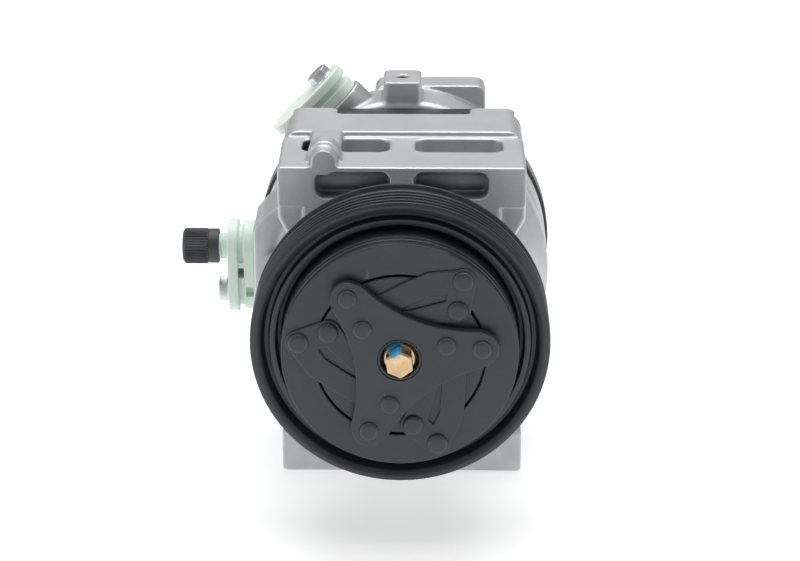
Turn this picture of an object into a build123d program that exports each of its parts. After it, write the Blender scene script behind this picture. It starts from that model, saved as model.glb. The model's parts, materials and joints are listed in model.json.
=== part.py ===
from build123d import *

import os
from math import cos, radians, sin

# Scroll-type automotive air-conditioning compressor with a magnetic clutch.
# Frame: millimetres, +Z up, +X to the right of someone facing the pulley, the drive shaft along Y with
# the pulley at the -Y end. The origin is the middle of the lower front mounting bore.
# Depths below are measured backwards from the pulley's front rim, heights and radii from the shaft axis.

# ---- driving dimensions -------------------------------------------------------------------------
SHAFT_Z = 76.5  # shaft axis above the lower mounting bores
MOUNT_DEPTH = 70.0  # front mounting bores behind the pulley's front rim
MOUNT_BORE_R = 4.25  # clearance for an M8 mounting bolt
TOP_BORE_Z = 50.2  # upper front bore above the shaft axis
BLOCK_HALF = 53.5  # half width of the top block and of the front foot
FLAT_TOP = 58.3  # flat top of the front housing above the shaft axis
PAD_TOP = 60.6  # raised pad behind the top pockets
FOOT_TOP = -67.0
FOOT_BOTTOM = -86.3

NOSE_FRONT = 1.0
NOSE_R = 17.5  # seat of the pulley bearing
COIL_SEAT = 29.0  # front face that the clutch coil sits on
BLOCK_FRONT = 60.0  # front of the foot
TOP_FRONT = 56.0  # front of the top block
BARREL_R = 65.0
FLANGE_R = 65.3
CRANK_FRONT = 78.0  # crank chamber
THRUST_FACE = 97.0  # shoulder that carries the orbiting scroll
CRANK_R = 33.5
SCROLL_BORE_R = 50.5
JOINT_FRONT = 128.0  # front housing to fixed scroll
JOINT_REAR = 141.0  # fixed scroll to rear housing
RING_R = 66.7  # fixed scroll flange
RING_FLAT = 58.8
REAR_R = 62.0
REAR_END = 169.0

BOLT_CIRCLE_R = 56.0
BOLT_ANGLES = (0, 46, 120, 180, 240, 300)
BOLT_R = 3.0  # M6
BOLT_HOLE_R = 3.3

PULLEY_R = 62.5
PULLEY_WIDTH = 24.0
GROOVE_COUNT = 4
GROOVE_PITCH = 3.56
POLE_R = 49.0
FRICTION_FACE = -7.5
ARMATURE_GAP = 0.5
ARMATURE_BACK = FRICTION_FACE - ARMATURE_GAP
ARMATURE_FRONT = ARMATURE_BACK - 4.0
ARMATURE_R = 48.7
ARMATURE_SPLIT_R = 35.0
SPRING_FRONT = ARMATURE_FRONT - 1.0
HUB_FRONT = SPRING_FRONT - 4.0
HUB_TIP_R = 34.0
HUB_TIP_ANGLE = 8.3
HUB_RIVET_R = 20.2
HUB_RIVET_ANGLE = 18.3
RING_RIVET_R = 41.8
RING_RIVET_ANGLE = 52.0
DISC_RIVET_R = 31.0
DISC_RIVET_ANGLE = 40.4
ARMS = 3

INVOLUTE_R = 2.7  # base circle of both scroll wraps
WRAP_WALL = 3.6
ORBIT_R = 4.8
WRAP_START = 3.3  # involute angles in radians
WRAP_END = 13.9
WRAP_POINTS = 34
ORBIT_PLATE_R = 45.0
ORBIT_FACE = 98.5
WRAP_ROOT = 106.5
WRAP_TIP = 130.0
PIN_CIRCLE_R = 36.5
PIN_R = 2.0
PIN_ANGLES = (45, 135, 225, 315)

PORT_SPAN = 20.5  # port axis to its bolt
PORT_BIG_R = 12.4
PORT_SMALL_R = 9.8
PORT_MARGIN = 1.0
COVER_THICK = 12.0
SUCTION_FACE_X = -65.5
SUCTION_DEPTH = 88.0
SUCTION_Z = 10.8
SUCTION_BORE_R = 7.5
DISCHARGE_FACE = 63.3
DISCHARGE_DEPTH = 155.0
DISCHARGE_ANGLE = 135.0
DISCHARGE_SHIFT = 1.1  # port axis off the radial line, towards its bolt
DISCHARGE_BORE_R = 7.0
PORT_RECESS_STEP = 1.6  # the covers' spigots sit in a wider recess in front of each bore
PORT_RECESS_DEPTH = 6.5

# ---- planes and small helpers -------------------------------------------------------------------
RIM_Y = -MOUNT_DEPTH
FRONT = Vector(0, RIM_Y, SHAFT_Z)
SIDE = Plane(origin=FRONT, x_dir=(0, 1, 0), z_dir=(1, 0, 0))  # local x is depth, local y is radius
SHAFT = Axis(FRONT, (0, 1, 0))

os.makedirs("parts", exist_ok=True)


def facing(depth, x=0.0, z=0.0, turn=1):
    """Plane across the shaft at a depth, facing the pulley end, or the rear end when turn is -1."""
    return Plane(origin=(x, RIM_Y + depth, SHAFT_Z + z), x_dir=(turn, 0, 0), z_dir=(0, -1, 0))


def level(z, depth=0.0, x=0.0):
    """Horizontal plane at a height above the shaft, its local y running backwards."""
    return Plane(origin=(x, RIM_Y + depth, SHAFT_Z + z), x_dir=(1, 0, 0), z_dir=(0, 0, 1))


def across(x):
    """Plane square to X, its local x running backwards and its local y up."""
    return Plane(origin=(x, RIM_Y, SHAFT_Z), x_dir=(0, 1, 0), z_dir=(1, 0, 0))


def radial(angle, distance, depth, shift=0.0):
    """Plane facing outwards at an angle round the shaft, its local y running backwards."""
    out = Vector(cos(radians(angle)), 0, sin(radians(angle)))
    along = Vector(sin(radians(angle)), 0, -cos(radians(angle)))
    origin = FRONT + out * distance + along * shift + Vector(0, depth, 0)
    return Plane(origin=origin, x_dir=along, z_dir=out)


def polar(radius, angle):
    """Point at a radius and an angle in degrees."""
    return (radius * cos(radians(angle)), radius * sin(radians(angle)))


def save(piece, label):
    """Label a finished piece and write it."""
    piece.part.label = label
    export_step(piece.part, f"parts/{label}.step")


def turned(label, *profile):
    """A ring or stepped shaft turned about the shaft axis from (depth, radius) points."""
    with BuildPart() as piece:
        with BuildSketch(SIDE):
            with BuildLine():
                Polyline(*profile, close=True)
            make_face()
        revolve(axis=SHAFT)
    save(piece, label)


def race(label, inner, outer, front, back):
    """A plain bearing ring."""
    turned(label, (front, inner), (front, outer), (back, outer), (back, inner))


def torus(label, radius, section, depth):
    """A round-section sealing ring about the shaft axis."""
    with BuildPart() as piece:
        with BuildSketch(SIDE):
            with Locations((depth, radius)):
                Circle(section)
        revolve(axis=SHAFT)
    save(piece, label)


def balls(label, ball_r, pitch_r, count, depths):
    """The balls of a bearing, one row for each depth."""
    with BuildPart() as piece:
        for depth in depths:
            with Locations(facing(depth)):
                with PolarLocations(pitch_r, count):
                    Sphere(ball_r)
    save(piece, label)


def open_ring(label, inner, outer, front, back, gap):
    """A retaining ring with a gap at the bottom."""
    with BuildPart() as piece:
        with BuildSketch(facing(front)):
            Circle(outer)
            Circle(inner, mode=Mode.SUBTRACT)
            with Locations((0, -outer)):
                Rectangle(gap, outer, mode=Mode.SUBTRACT)
        extrude(amount=front - back)
    save(piece, label)


def flank(angle, side):
    """Point on a scroll wrap's outer (side +1) or inner (side -1) face."""
    unroll = angle + side * WRAP_WALL / (2 * INVOLUTE_R)
    x = INVOLUTE_R * (cos(angle) + unroll * sin(angle))
    y = INVOLUTE_R * (sin(angle) - unroll * cos(angle))
    return (x, y)


WRAP_STEP = (WRAP_END - WRAP_START) / (WRAP_POINTS - 1)
WRAP_OUTER = [flank(WRAP_START + i * WRAP_STEP, 1) for i in range(WRAP_POINTS)]
WRAP_INNER = [flank(WRAP_START + i * WRAP_STEP, -1) for i in range(WRAP_POINTS)]


# ---- front housing ------------------------------------------------------------------------------
POCKET_INNER = 5.0
POCKET_OUTER = 37.2
SLOT_OUTER = 44.0
POCKET_BACK = 77.0
SLOT_FRONT = 79.0
SLOT_BACK = 97.0
PLUG_X = -33.6
PLUG_Z = 60.2
GLAND_X = -54.5
GLAND_Z = 10.0
GLAND_DEPTH = 54.0
OIL_PLUG_ANGLE = -30
PAD_HALF = 51.0
SHOULDER_R = 7.0

with BuildPart() as front_housing:
    # turned nose, coil seat, cone, barrel and flange
    with BuildSketch(SIDE):
        with BuildLine():
            Polyline(
                (NOSE_FRONT, 0),
                (NOSE_FRONT, NOSE_R),
                (COIL_SEAT, NOSE_R),
                (COIL_SEAT, 46),
                (36, 48),
                (54, 50),
                (66, 54),
                (86, BARREL_R),
                (101, BARREL_R),
                (102.6, 63.8),
                (104.2, FLANGE_R),
                (JOINT_FRONT, FLANGE_R),
                (JOINT_FRONT, 0),
                close=True,
            )
        make_face()
    revolve(axis=SHAFT)
    # flat top
    with BuildSketch(facing(30)):
        with Locations((0, FLAT_TOP + 10)):
            Rectangle(150, 20)
    extrude(amount=-100, mode=Mode.SUBTRACT)
    # top mounting block, as wide as the foot
    with BuildSketch(facing(TOP_FRONT)):
        with Locations((0, (FLAT_TOP + 40.2) / 2)):
            RectangleRounded(2 * BLOCK_HALF, FLAT_TOP - 40.2, 1.5)
        with Locations((0, 38)):
            Rectangle(84, 20)
    extrude(amount=TOP_FRONT - JOINT_FRONT)
    # gussets under the block's ends
    with BuildSketch(facing(TOP_FRONT + 3)):
        for side in (-1, 1):
            with BuildLine():
                Polyline(
                    (side * 40, 42),
                    (side * BLOCK_HALF, 42),
                    (side * BLOCK_HALF, 34),
                    (side * 47, 22),
                    (side * 40, 22),
                    close=True,
                )
            make_face()
    extrude(amount=-30)
    # raised pad with rounded rear corners
    with BuildSketch(level(FLAT_TOP - 1)):
        with Locations((0, 114)):
            Rectangle(2 * PAD_HALF, 28)
        for side in (-1, 1):
            with Locations((side * 40, 127)):
                RectangleRounded(22, 20, 6)
    extrude(amount=PAD_TOP - FLAT_TOP + 1)
    # suction port boss
    with BuildSketch(facing(72)):
        with BuildLine():
            Polyline(
                (-38, -24),
                (SUCTION_FACE_X + 3, -24),
                (SUCTION_FACE_X, -21),
                (SUCTION_FACE_X, 24),
                (-61, 29.5),
                (-50.5, 38.5),
                (-38, 44),
                close=True,
            )
        make_face()
    extrude(amount=-31)
    # foot and its web
    with BuildSketch(facing(BLOCK_FRONT)):
        with Locations((0, (FOOT_TOP + FOOT_BOTTOM) / 2)):
            RectangleRounded(2 * BLOCK_HALF, FOOT_TOP - FOOT_BOTTOM, 1.5)
    extrude(amount=-20)
    with BuildSketch(facing(BLOCK_FRONT + 3)):
        with BuildLine():
            Polyline((-26, -40), (26, -40), (36, FOOT_TOP - 1), (-36, FOOT_TOP - 1), close=True)
        make_face()
    extrude(amount=-15)
    # overhanging lugs that reach back over the fixed scroll's flange
    with BuildSketch(level(40)):
        for side in (-1, 1):
            with Locations((side * 42.5, 131)):
                Rectangle(18, 12)
    extrude(amount=PAD_TOP - 40)
    with BuildSketch(facing(JOINT_FRONT)):
        Circle(RING_R + 0.4)
        with Locations((0, RING_FLAT + 0.3 - 10)):
            Rectangle(2 * 60, 20)
    extrude(amount=-(JOINT_REAR - JOINT_FRONT), mode=Mode.SUBTRACT)
    # rounded shoulders behind the slots
    with BuildSketch(facing(SLOT_BACK + 1)):
        for side in (-1, 1):
            with Locations((side * (BLOCK_HALF - SHOULDER_R / 2), PAD_TOP - SHOULDER_R / 2)):
                Rectangle(SHOULDER_R + 1, SHOULDER_R + 1)
        for side in (-1, 1):
            with Locations((side * (BLOCK_HALF - SHOULDER_R), PAD_TOP - SHOULDER_R)):
                Circle(SHOULDER_R, mode=Mode.SUBTRACT)
        with Locations((0, PAD_TOP - SHOULDER_R)):
            Rectangle(2 * (BLOCK_HALF - SHOULDER_R), 2 * SHOULDER_R, mode=Mode.SUBTRACT)
        with Locations((0, PAD_TOP - 2 * SHOULDER_R)):
            Rectangle(2 * BLOCK_HALF, 2 * SHOULDER_R, mode=Mode.SUBTRACT)
    extrude(amount=SLOT_BACK + 1 - JOINT_REAR, mode=Mode.SUBTRACT)
    # pockets in the front face and slots in the top face
    with BuildSketch(facing(TOP_FRONT)):
        for side in (-1, 1):
            with Locations((side * (POCKET_INNER + POCKET_OUTER) / 2, TOP_BORE_Z)):
                RectangleRounded(POCKET_OUTER - POCKET_INNER, 11.8, 4)
    extrude(amount=TOP_FRONT - POCKET_BACK, mode=Mode.SUBTRACT)
    with BuildSketch(level(FLAT_TOP)):
        for side in (-1, 1):
            with Locations((side * (5.6 + SLOT_OUTER) / 2, (SLOT_FRONT + SLOT_BACK) / 2)):
                RectangleRounded(SLOT_OUTER - 5.6, SLOT_BACK - SLOT_FRONT, 5)
    extrude(amount=-12, mode=Mode.SUBTRACT)
    # bolt tube that crosses the pockets
    with BuildSketch(across(-POCKET_OUTER - 1)):
        with Locations((MOUNT_DEPTH, TOP_BORE_Z)):
            Circle(6.6)
    extrude(amount=2 * POCKET_OUTER + 2)
    # round plug boss, flush with the block's front, with its collar and the pad behind it
    with BuildSketch(facing(TOP_FRONT)):
        with Locations((PLUG_X, PLUG_Z)):
            Circle(5.6)
    extrude(amount=-20)
    with BuildSketch(facing(TOP_FRONT + 8)):
        with Locations((PLUG_X, PLUG_Z)):
            Circle(7.2)
    extrude(amount=-9)
    with BuildSketch(facing(TOP_FRONT + 13)):
        with Locations((PLUG_X, FLAT_TOP - 3)):
            Rectangle(13.6, 12)
    extrude(amount=-30)
    # seat of the coil lead's gland
    with BuildSketch(facing(GLAND_DEPTH, GLAND_X, GLAND_Z)):
        Circle(6)
    extrude(amount=-15)
    # oil plug boss
    with BuildSketch(radial(OIL_PLUG_ANGLE, 67.5, 92)):
        Circle(9)
    extrude(amount=-15)
    # stepped bore: seal, front bearing, main bearing, crank chamber, scroll bore
    with BuildSketch(SIDE):
        with BuildLine():
            Polyline(
                (NOSE_FRONT, 0),
                (NOSE_FRONT, 13.5),
                (8, 13.5),
                (8, 14.3),
                (9.2, 14.3),
                (9.2, 13),
                (19, 13),
                (19, 9),
                (34, 9),
                (34, 21),
                (46, 21),
                (52, 26.5),
                (62, 26.5),
                (62, 31),
                (CRANK_FRONT, 31),
                (CRANK_FRONT, CRANK_R),
                (THRUST_FACE, CRANK_R),
                (THRUST_FACE, SCROLL_BORE_R),
                (JOINT_FRONT, SCROLL_BORE_R),
                (JOINT_FRONT, 0),
                close=True,
            )
        make_face()
    revolve(axis=SHAFT, mode=Mode.SUBTRACT)
    # grooves for the two rings on the nose
    with BuildSketch(SIDE):
        for groove in (2.8, 26.3):
            with Locations((groove, NOSE_R)):
                Rectangle(1.3, 2.4)
    revolve(axis=SHAFT, mode=Mode.SUBTRACT)
    # gas notches in the thrust shoulder
    with BuildSketch(facing(THRUST_FACE)):
        with PolarLocations(41, 4):
            Rectangle(20, 12)
    extrude(amount=8, mode=Mode.SUBTRACT)
    # anti-rotation pin holes and body bolt holes
    with BuildSketch(facing(THRUST_FACE)):
        for angle in PIN_ANGLES:
            with Locations(polar(PIN_CIRCLE_R, angle)):
                Circle(PIN_R)
    extrude(amount=9, mode=Mode.SUBTRACT)
    with BuildSketch(facing(JOINT_FRONT)):
        for angle in BOLT_ANGLES:
            with Locations(polar(BOLT_CIRCLE_R, angle)):
                Circle(BOLT_R)
    extrude(amount=18, mode=Mode.SUBTRACT)
    # suction bore and the hole for its bolt
    with BuildSketch(Plane.YZ.offset(SUCTION_FACE_X)):
        with Locations((RIM_Y + SUCTION_DEPTH, SHAFT_Z + SUCTION_Z)):
            Circle(SUCTION_BORE_R)
    extrude(amount=29.5, mode=Mode.SUBTRACT)
    with BuildSketch(Plane.YZ.offset(SUCTION_FACE_X)):
        with Locations((RIM_Y + SUCTION_DEPTH, SHAFT_Z + SUCTION_Z)):
            Circle(SUCTION_BORE_R - 1.5)
    extrude(amount=38, mode=Mode.SUBTRACT)
    with BuildSketch(Plane.YZ.offset(SUCTION_FACE_X)):
        with Locations((RIM_Y + SUCTION_DEPTH, SHAFT_Z + SUCTION_Z)):
            Circle(SUCTION_BORE_R + PORT_RECESS_STEP)
    extrude(amount=PORT_RECESS_DEPTH, mode=Mode.SUBTRACT)
    with BuildSketch(Plane.YZ.offset(SUCTION_FACE_X)):
        with Locations((RIM_Y + SUCTION_DEPTH, SHAFT_Z + SUCTION_Z - PORT_SPAN)):
            Circle(BOLT_R + 0.05)
    extrude(amount=14, mode=Mode.SUBTRACT)
    # mounting bores
    with BuildSketch(across(-BLOCK_HALF)):
        with Locations((MOUNT_DEPTH, TOP_BORE_Z), (MOUNT_DEPTH, -SHAFT_Z)):
            Circle(MOUNT_BORE_R)
    extrude(amount=2 * BLOCK_HALF, mode=Mode.SUBTRACT)
    # gland hole and oil plug hole
    with BuildSketch(facing(GLAND_DEPTH, GLAND_X, GLAND_Z)):
        Circle(3)
    extrude(amount=-8, mode=Mode.SUBTRACT)
    with BuildSketch(radial(OIL_PLUG_ANGLE, 67.5, 92)):
        Circle(5)
    extrude(amount=-38, mode=Mode.SUBTRACT)
save(front_housing, "front_housing")

# ---- fixed scroll: its flange is the ring between the two housings --------------------------------
with BuildPart() as fixed_scroll:
    with BuildSketch(SIDE):
        with BuildLine():
            Polyline(
                (107, 45.3),
                (107, 50.3),
                (121, 50.3),
                (121, 47.9),
                (124, 47.9),
                (124, 50.3),
                (JOINT_FRONT, 50.3),
                (JOINT_FRONT, RING_R - 0.6),
                (JOINT_FRONT + 0.6, RING_R),
                (JOINT_REAR - 0.6, RING_R),
                (JOINT_REAR, RING_R - 0.6),
                (JOINT_REAR, 51.2),
                (JOINT_REAR - 2.3, 51.2),
                (JOINT_REAR - 2.3, 48.4),
                (JOINT_REAR, 48.4),
                (JOINT_REAR, 0),
                (WRAP_TIP, 0),
                (WRAP_TIP, 45.3),
                close=True,
            )
        make_face()
    revolve(axis=SHAFT)
    with BuildSketch(facing(JOINT_FRONT)):
        with Locations((0, RING_FLAT + 10)):
            Rectangle(140, 20)
    extrude(amount=JOINT_FRONT - JOINT_REAR, mode=Mode.SUBTRACT)
    with BuildSketch(facing(WRAP_TIP, turn=-1)):
        with BuildLine():
            Spline(*WRAP_OUTER)
            Line(WRAP_OUTER[-1], WRAP_INNER[-1])
            Spline(*WRAP_INNER)
            Line(WRAP_INNER[0], WRAP_OUTER[0])
        make_face()
    extrude(amount=WRAP_TIP - WRAP_ROOT - 0.3)
    with BuildSketch(facing(JOINT_FRONT)):
        for angle in BOLT_ANGLES:
            with Locations(polar(BOLT_CIRCLE_R, angle)):
                Circle(BOLT_HOLE_R)
    extrude(amount=JOINT_FRONT - JOINT_REAR, mode=Mode.SUBTRACT)
    with BuildSketch(facing(WRAP_TIP)):
        Circle(3.5)
        with Locations((22, 0)):
            Circle(2)
    extrude(amount=WRAP_TIP - JOINT_REAR, mode=Mode.SUBTRACT)
save(fixed_scroll, "fixed_scroll")

# ---- rear housing -------------------------------------------------------------------------------
REAR_FOOT_DEPTH = 158.0
EAR_FRONT = 165.0
EAR_REAR = 181.0
EAR_TOP = 62.6
EAR_LEFT = -14.0
EAR_RIGHT = 38.0
EAR_HOLES_X = (0.0, 26.0)
EAR_HOLE_Z = 54.6
EAR_TAP_R = 3.4
POST_X = -0.8
POST_WIDTH = 17.5
POST_TOP = 70.8
POST_TAP_R = 2.5
RELIEF_ANGLE = -42

DISCHARGE_PLANE = radial(DISCHARGE_ANGLE, DISCHARGE_FACE, DISCHARGE_DEPTH, DISCHARGE_SHIFT)

with BuildPart() as rear_housing:
    with BuildSketch(SIDE):
        with BuildLine():
            Polyline(
                (JOINT_REAR, 47),
                (JOINT_REAR, 59.8),
                (JOINT_REAR + 1, 61),
                (JOINT_REAR + 3, REAR_R),
                (165.5, REAR_R),
                (REAR_END, 59),
                (REAR_END, 0),
                (162, 0),
                (162, 47),
                close=True,
            )
        make_face()
    revolve(axis=SHAFT)
    # square post
    with BuildSketch(level(45)):
        with Locations((POST_X, 153)):
            RectangleRounded(POST_WIDTH, 22, 3)
    extrude(amount=POST_TOP - 45)
    # upper rear ear
    with BuildSketch(facing(EAR_FRONT)):
        with Locations(((EAR_LEFT + EAR_RIGHT) / 2, (46.5 + EAR_TOP) / 2)):
            RectangleRounded(EAR_RIGHT - EAR_LEFT, EAR_TOP - 46.5, 4.5)
        with Locations(((EAR_LEFT + EAR_RIGHT) / 2, 40)):
            Rectangle(34, 24)
    extrude(amount=EAR_FRONT - EAR_REAR)
    # discharge port boss
    with BuildSketch(DISCHARGE_PLANE):
        Circle(PORT_BIG_R + PORT_MARGIN)
        with Locations((PORT_SPAN, 0)):
            Circle(PORT_SMALL_R + PORT_MARGIN)
        make_hull()
    extrude(amount=-20)
    # relief valve boss
    with BuildSketch(radial(RELIEF_ANGLE, 66, 154)):
        Circle(9)
    extrude(amount=-12)
    # rear foot
    with BuildSketch(facing(REAR_FOOT_DEPTH - 10)):
        with Locations((0, (FOOT_TOP + FOOT_BOTTOM) / 2)):
            RectangleRounded(76, FOOT_TOP - FOOT_BOTTOM, 1.5)
        with Locations((0, -60)):
            Rectangle(44, 18)
    extrude(amount=-20)
    # discharge chamber is opened again where the bosses reached into it
    with BuildSketch(facing(JOINT_REAR)):
        Circle(47)
    extrude(amount=JOINT_REAR - 162, mode=Mode.SUBTRACT)
    # stiffening ribs on the rear wall
    with BuildSketch(facing(REAR_END)):
        with PolarLocations(30, 6, start_angle=10):
            Rectangle(34, 4)
        Circle(16)
    extrude(amount=-3)
    with BuildSketch(facing(REAR_END + 3)):
        Circle(11)
    extrude(amount=3, mode=Mode.SUBTRACT)
    # bolt holes
    with BuildSketch(facing(JOINT_REAR)):
        for angle in BOLT_ANGLES:
            with Locations(polar(BOLT_CIRCLE_R, angle)):
                Circle(BOLT_HOLE_R)
    extrude(amount=JOINT_REAR - EAR_REAR, mode=Mode.SUBTRACT)
    # discharge bore and the hole for its bolt
    with BuildSketch(DISCHARGE_PLANE):
        Circle(DISCHARGE_BORE_R)
    extrude(amount=-20, mode=Mode.SUBTRACT)
    with BuildSketch(DISCHARGE_PLANE):
        Circle(DISCHARGE_BORE_R + PORT_RECESS_STEP)
    extrude(amount=-PORT_RECESS_DEPTH, mode=Mode.SUBTRACT)
    with BuildSketch(DISCHARGE_PLANE):
        with Locations((PORT_SPAN, 0)):
            Circle(BOLT_R + 0.05)
    extrude(amount=-12, mode=Mode.SUBTRACT)
    # relief valve hole, post hole, ear holes and rear foot bore
    with BuildSketch(radial(RELIEF_ANGLE, 66, 154)):
        Circle(5)
    extrude(amount=-22, mode=Mode.SUBTRACT)
    with BuildSketch(level(POST_TOP)):
        with Locations((POST_X, 153)):
            Circle(POST_TAP_R)
    extrude(amount=-12, mode=Mode.SUBTRACT)
    with BuildSketch(facing(EAR_REAR)):
        for x in EAR_HOLES_X:
            with Locations((x, EAR_HOLE_Z)):
                Circle(EAR_TAP_R)
    extrude(amount=13, mode=Mode.SUBTRACT)
    with BuildSketch(across(-38)):
        with Locations((REAR_FOOT_DEPTH, -SHAFT_Z)):
            Circle(MOUNT_BORE_R)
    extrude(amount=76, mode=Mode.SUBTRACT)
save(rear_housing, "rear_housing")

# ---- body seals and bolts -------------------------------------------------------------------------
torus("front_oring", 49.2, 1.15, 122.5)
torus("rear_oring", 49.8, 1.12, JOINT_REAR - 1.15)

with BuildPart() as body_bolts:
    with BuildSketch(facing(REAR_END)):
        for angle in BOLT_ANGLES:
            with Locations(polar(BOLT_CIRCLE_R, angle)):
                Circle(BOLT_R)
    extrude(amount=REAR_END - JOINT_FRONT + 16)
    with BuildSketch(facing(REAR_END)):
        for angle in BOLT_ANGLES:
            with Locations(polar(BOLT_CIRCLE_R, angle)):
                Circle(5.4)
    extrude(amount=-5.5)
    with BuildSketch(facing(REAR_END + 5.5)):
        for angle in BOLT_ANGLES:
            with Locations(polar(BOLT_CIRCLE_R, angle)):
                RegularPolygon(2.9, 6)
    extrude(amount=3, mode=Mode.SUBTRACT)
save(body_bolts, "body_bolts")

# ---- discharge valve ------------------------------------------------------------------------------
with BuildPart() as discharge_reed:
    with BuildSketch(facing(JOINT_REAR)):
        Circle(6)
        with Locations((22, 0)):
            Circle(4.5)
        make_hull()
        with Locations((22, 0)):
            Circle(2, mode=Mode.SUBTRACT)
    extrude(amount=-0.4)
save(discharge_reed, "discharge_reed")

with BuildPart() as reed_stop:
    with BuildSketch(Plane(origin=FRONT + Vector(0, 0, -4.5), x_dir=(1, 0, 0), z_dir=(0, 0, 1))):
        with BuildLine():
            Polyline(
                (26.5, JOINT_REAR + 0.4),
                (14, JOINT_REAR + 0.4),
                (-5, JOINT_REAR + 3.4),
                (-5, JOINT_REAR + 5.4),
                (14, JOINT_REAR + 2.4),
                (26.5, JOINT_REAR + 2.4),
                close=True,
            )
        make_face()
    extrude(amount=9)
    with BuildSketch(facing(JOINT_REAR)):
        with Locations((22, 0)):
            Circle(2)
    extrude(amount=-4, mode=Mode.SUBTRACT)
save(reed_stop, "reed_stop")

with BuildPart() as reed_screw:
    with BuildSketch(facing(JOINT_REAR - 9)):
        with Locations((22, 0)):
            Circle(2)
    extrude(amount=-11.4)
    with BuildSketch(facing(JOINT_REAR + 2.4)):
        with Locations((22, 0)):
            Circle(3.6)
    extrude(amount=-3)
save(reed_screw, "reed_screw")

# ---- orbiting scroll and what guides it -------------------------------------------------------------
with BuildPart() as orbiting_scroll:
    with BuildSketch(facing(WRAP_ROOT, ORBIT_R)):
        Circle(ORBIT_PLATE_R)
    extrude(amount=WRAP_ROOT - ORBIT_FACE)
    with BuildSketch(facing(WRAP_ROOT, ORBIT_R)):
        with BuildLine():
            Spline(*WRAP_OUTER)
            Line(WRAP_OUTER[-1], WRAP_INNER[-1])
            Spline(*WRAP_INNER)
            Line(WRAP_INNER[0], WRAP_OUTER[0])
        make_face()
    extrude(amount=WRAP_ROOT - WRAP_TIP + 0.3)
    with BuildSketch(facing(ORBIT_FACE, ORBIT_R)):
        Circle(17)
    extrude(amount=11)
    with BuildSketch(facing(ORBIT_FACE - 11, ORBIT_R)):
        Circle(14)
    extrude(amount=-10.3, mode=Mode.SUBTRACT)
    with BuildSketch(facing(ORBIT_FACE, ORBIT_R)):
        for angle in PIN_ANGLES:
            with Locations(polar(PIN_CIRCLE_R, angle)):
                Circle(8)
    extrude(amount=-5, mode=Mode.SUBTRACT)
save(orbiting_scroll, "orbiting_scroll")

with BuildPart() as orbit_bearing:
    with BuildSketch(facing(ORBIT_FACE - 10.5, ORBIT_R)):
        Circle(14)
        Circle(10.04, mode=Mode.SUBTRACT)
    extrude(amount=-9.6)
save(orbit_bearing, "orbit_bearing")

with BuildPart() as anti_rotation_rings:
    with BuildSketch(facing(ORBIT_FACE, ORBIT_R)):
        for angle in PIN_ANGLES:
            with Locations(polar(PIN_CIRCLE_R, angle)):
                Circle(8)
                Circle(PIN_R + ORBIT_R + 0.05, mode=Mode.SUBTRACT)
    extrude(amount=-4.8)
save(anti_rotation_rings, "anti_rotation_rings")

with BuildPart() as anti_rotation_pins:
    with BuildSketch(facing(THRUST_FACE - 8.5)):
        for angle in PIN_ANGLES:
            with Locations(polar(PIN_CIRCLE_R, angle)):
                Circle(PIN_R)
    extrude(amount=-13.5)
save(anti_rotation_pins, "anti_rotation_pins")

with BuildPart() as thrust_plate:
    with BuildSketch(facing(THRUST_FACE)):
        Circle(44)
        Circle(27, mode=Mode.SUBTRACT)
        for angle in PIN_ANGLES:
            with Locations(polar(PIN_CIRCLE_R, angle)):
                Circle(PIN_R + 0.1, mode=Mode.SUBTRACT)
    extrude(amount=-1.4)
save(thrust_plate, "thrust_plate")

# ---- shaft, crank and bearings ----------------------------------------------------------------------
SHAFT_FRONT = -10.0
CRANK_FACE = 82.0

with BuildPart() as drive_shaft:
    with BuildSketch(SIDE):
        with BuildLine():
            Polyline(
                (SHAFT_FRONT, 0),
                (SHAFT_FRONT, 6.5),
                (SHAFT_FRONT + 0.5, 7),
                (10, 7),
                (10, 8),
                (34, 8),
                (34, 10),
                (46, 10),
                (46, 13),
                (61.8, 13),
                (61.8, 15),
                (78.2, 15),
                (78.2, 21),
                (CRANK_FACE, 21),
                (CRANK_FACE, 0),
                close=True,
            )
        make_face()
    revolve(axis=SHAFT)
    with BuildSketch(facing(CRANK_FACE, ORBIT_R)):
        Circle(7)
    extrude(amount=-14.5)
    with BuildSketch(facing(SHAFT_FRONT)):
        Circle(3)
    extrude(amount=-18, mode=Mode.SUBTRACT)
save(drive_shaft, "drive_shaft")

with BuildPart() as eccentric_bush:
    with BuildSketch(facing(CRANK_FACE + 0.4, ORBIT_R)):
        Circle(10)
        Circle(7, mode=Mode.SUBTRACT)
    extrude(amount=-14.8)
save(eccentric_bush, "eccentric_bush")

with BuildPart() as counterweight:
    with BuildSketch(facing(CRANK_FACE + 0.4)):
        Circle(32.5)
        with Locations((20, 0)):
            Rectangle(34, 80, mode=Mode.SUBTRACT)
        with Locations((ORBIT_R, 0)):
            Circle(10, mode=Mode.SUBTRACT)
    extrude(amount=-4.2)
    with BuildSketch(facing(CRANK_FACE + 4.6)):
        Circle(32.5)
        Circle(23.5, mode=Mode.SUBTRACT)
        with Locations((20, 0)):
            Rectangle(44, 80, mode=Mode.SUBTRACT)
    extrude(amount=-8.2)
save(counterweight, "counterweight")

race("front_bearing_outer", 18, 21, 34, 46)
race("front_bearing_inner", 10, 13, 34, 46)
balls("front_bearing_balls", 2.4, 15.5, 9, (40,))
race("main_bearing_outer", 26.5, 31, 62, 78)
race("main_bearing_inner", 15, 19, 62, 78)
balls("main_bearing_balls", 3.65, 22.75, 9, (70,))
turned("shaft_seal", (9.4, 10.5), (9.4, 13), (18.8, 13), (18.8, 8.05), (16.6, 8.05), (14, 10.5))
open_ring("seal_circlip", 11, 14.2, 8.1, 9.1, 6)

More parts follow.
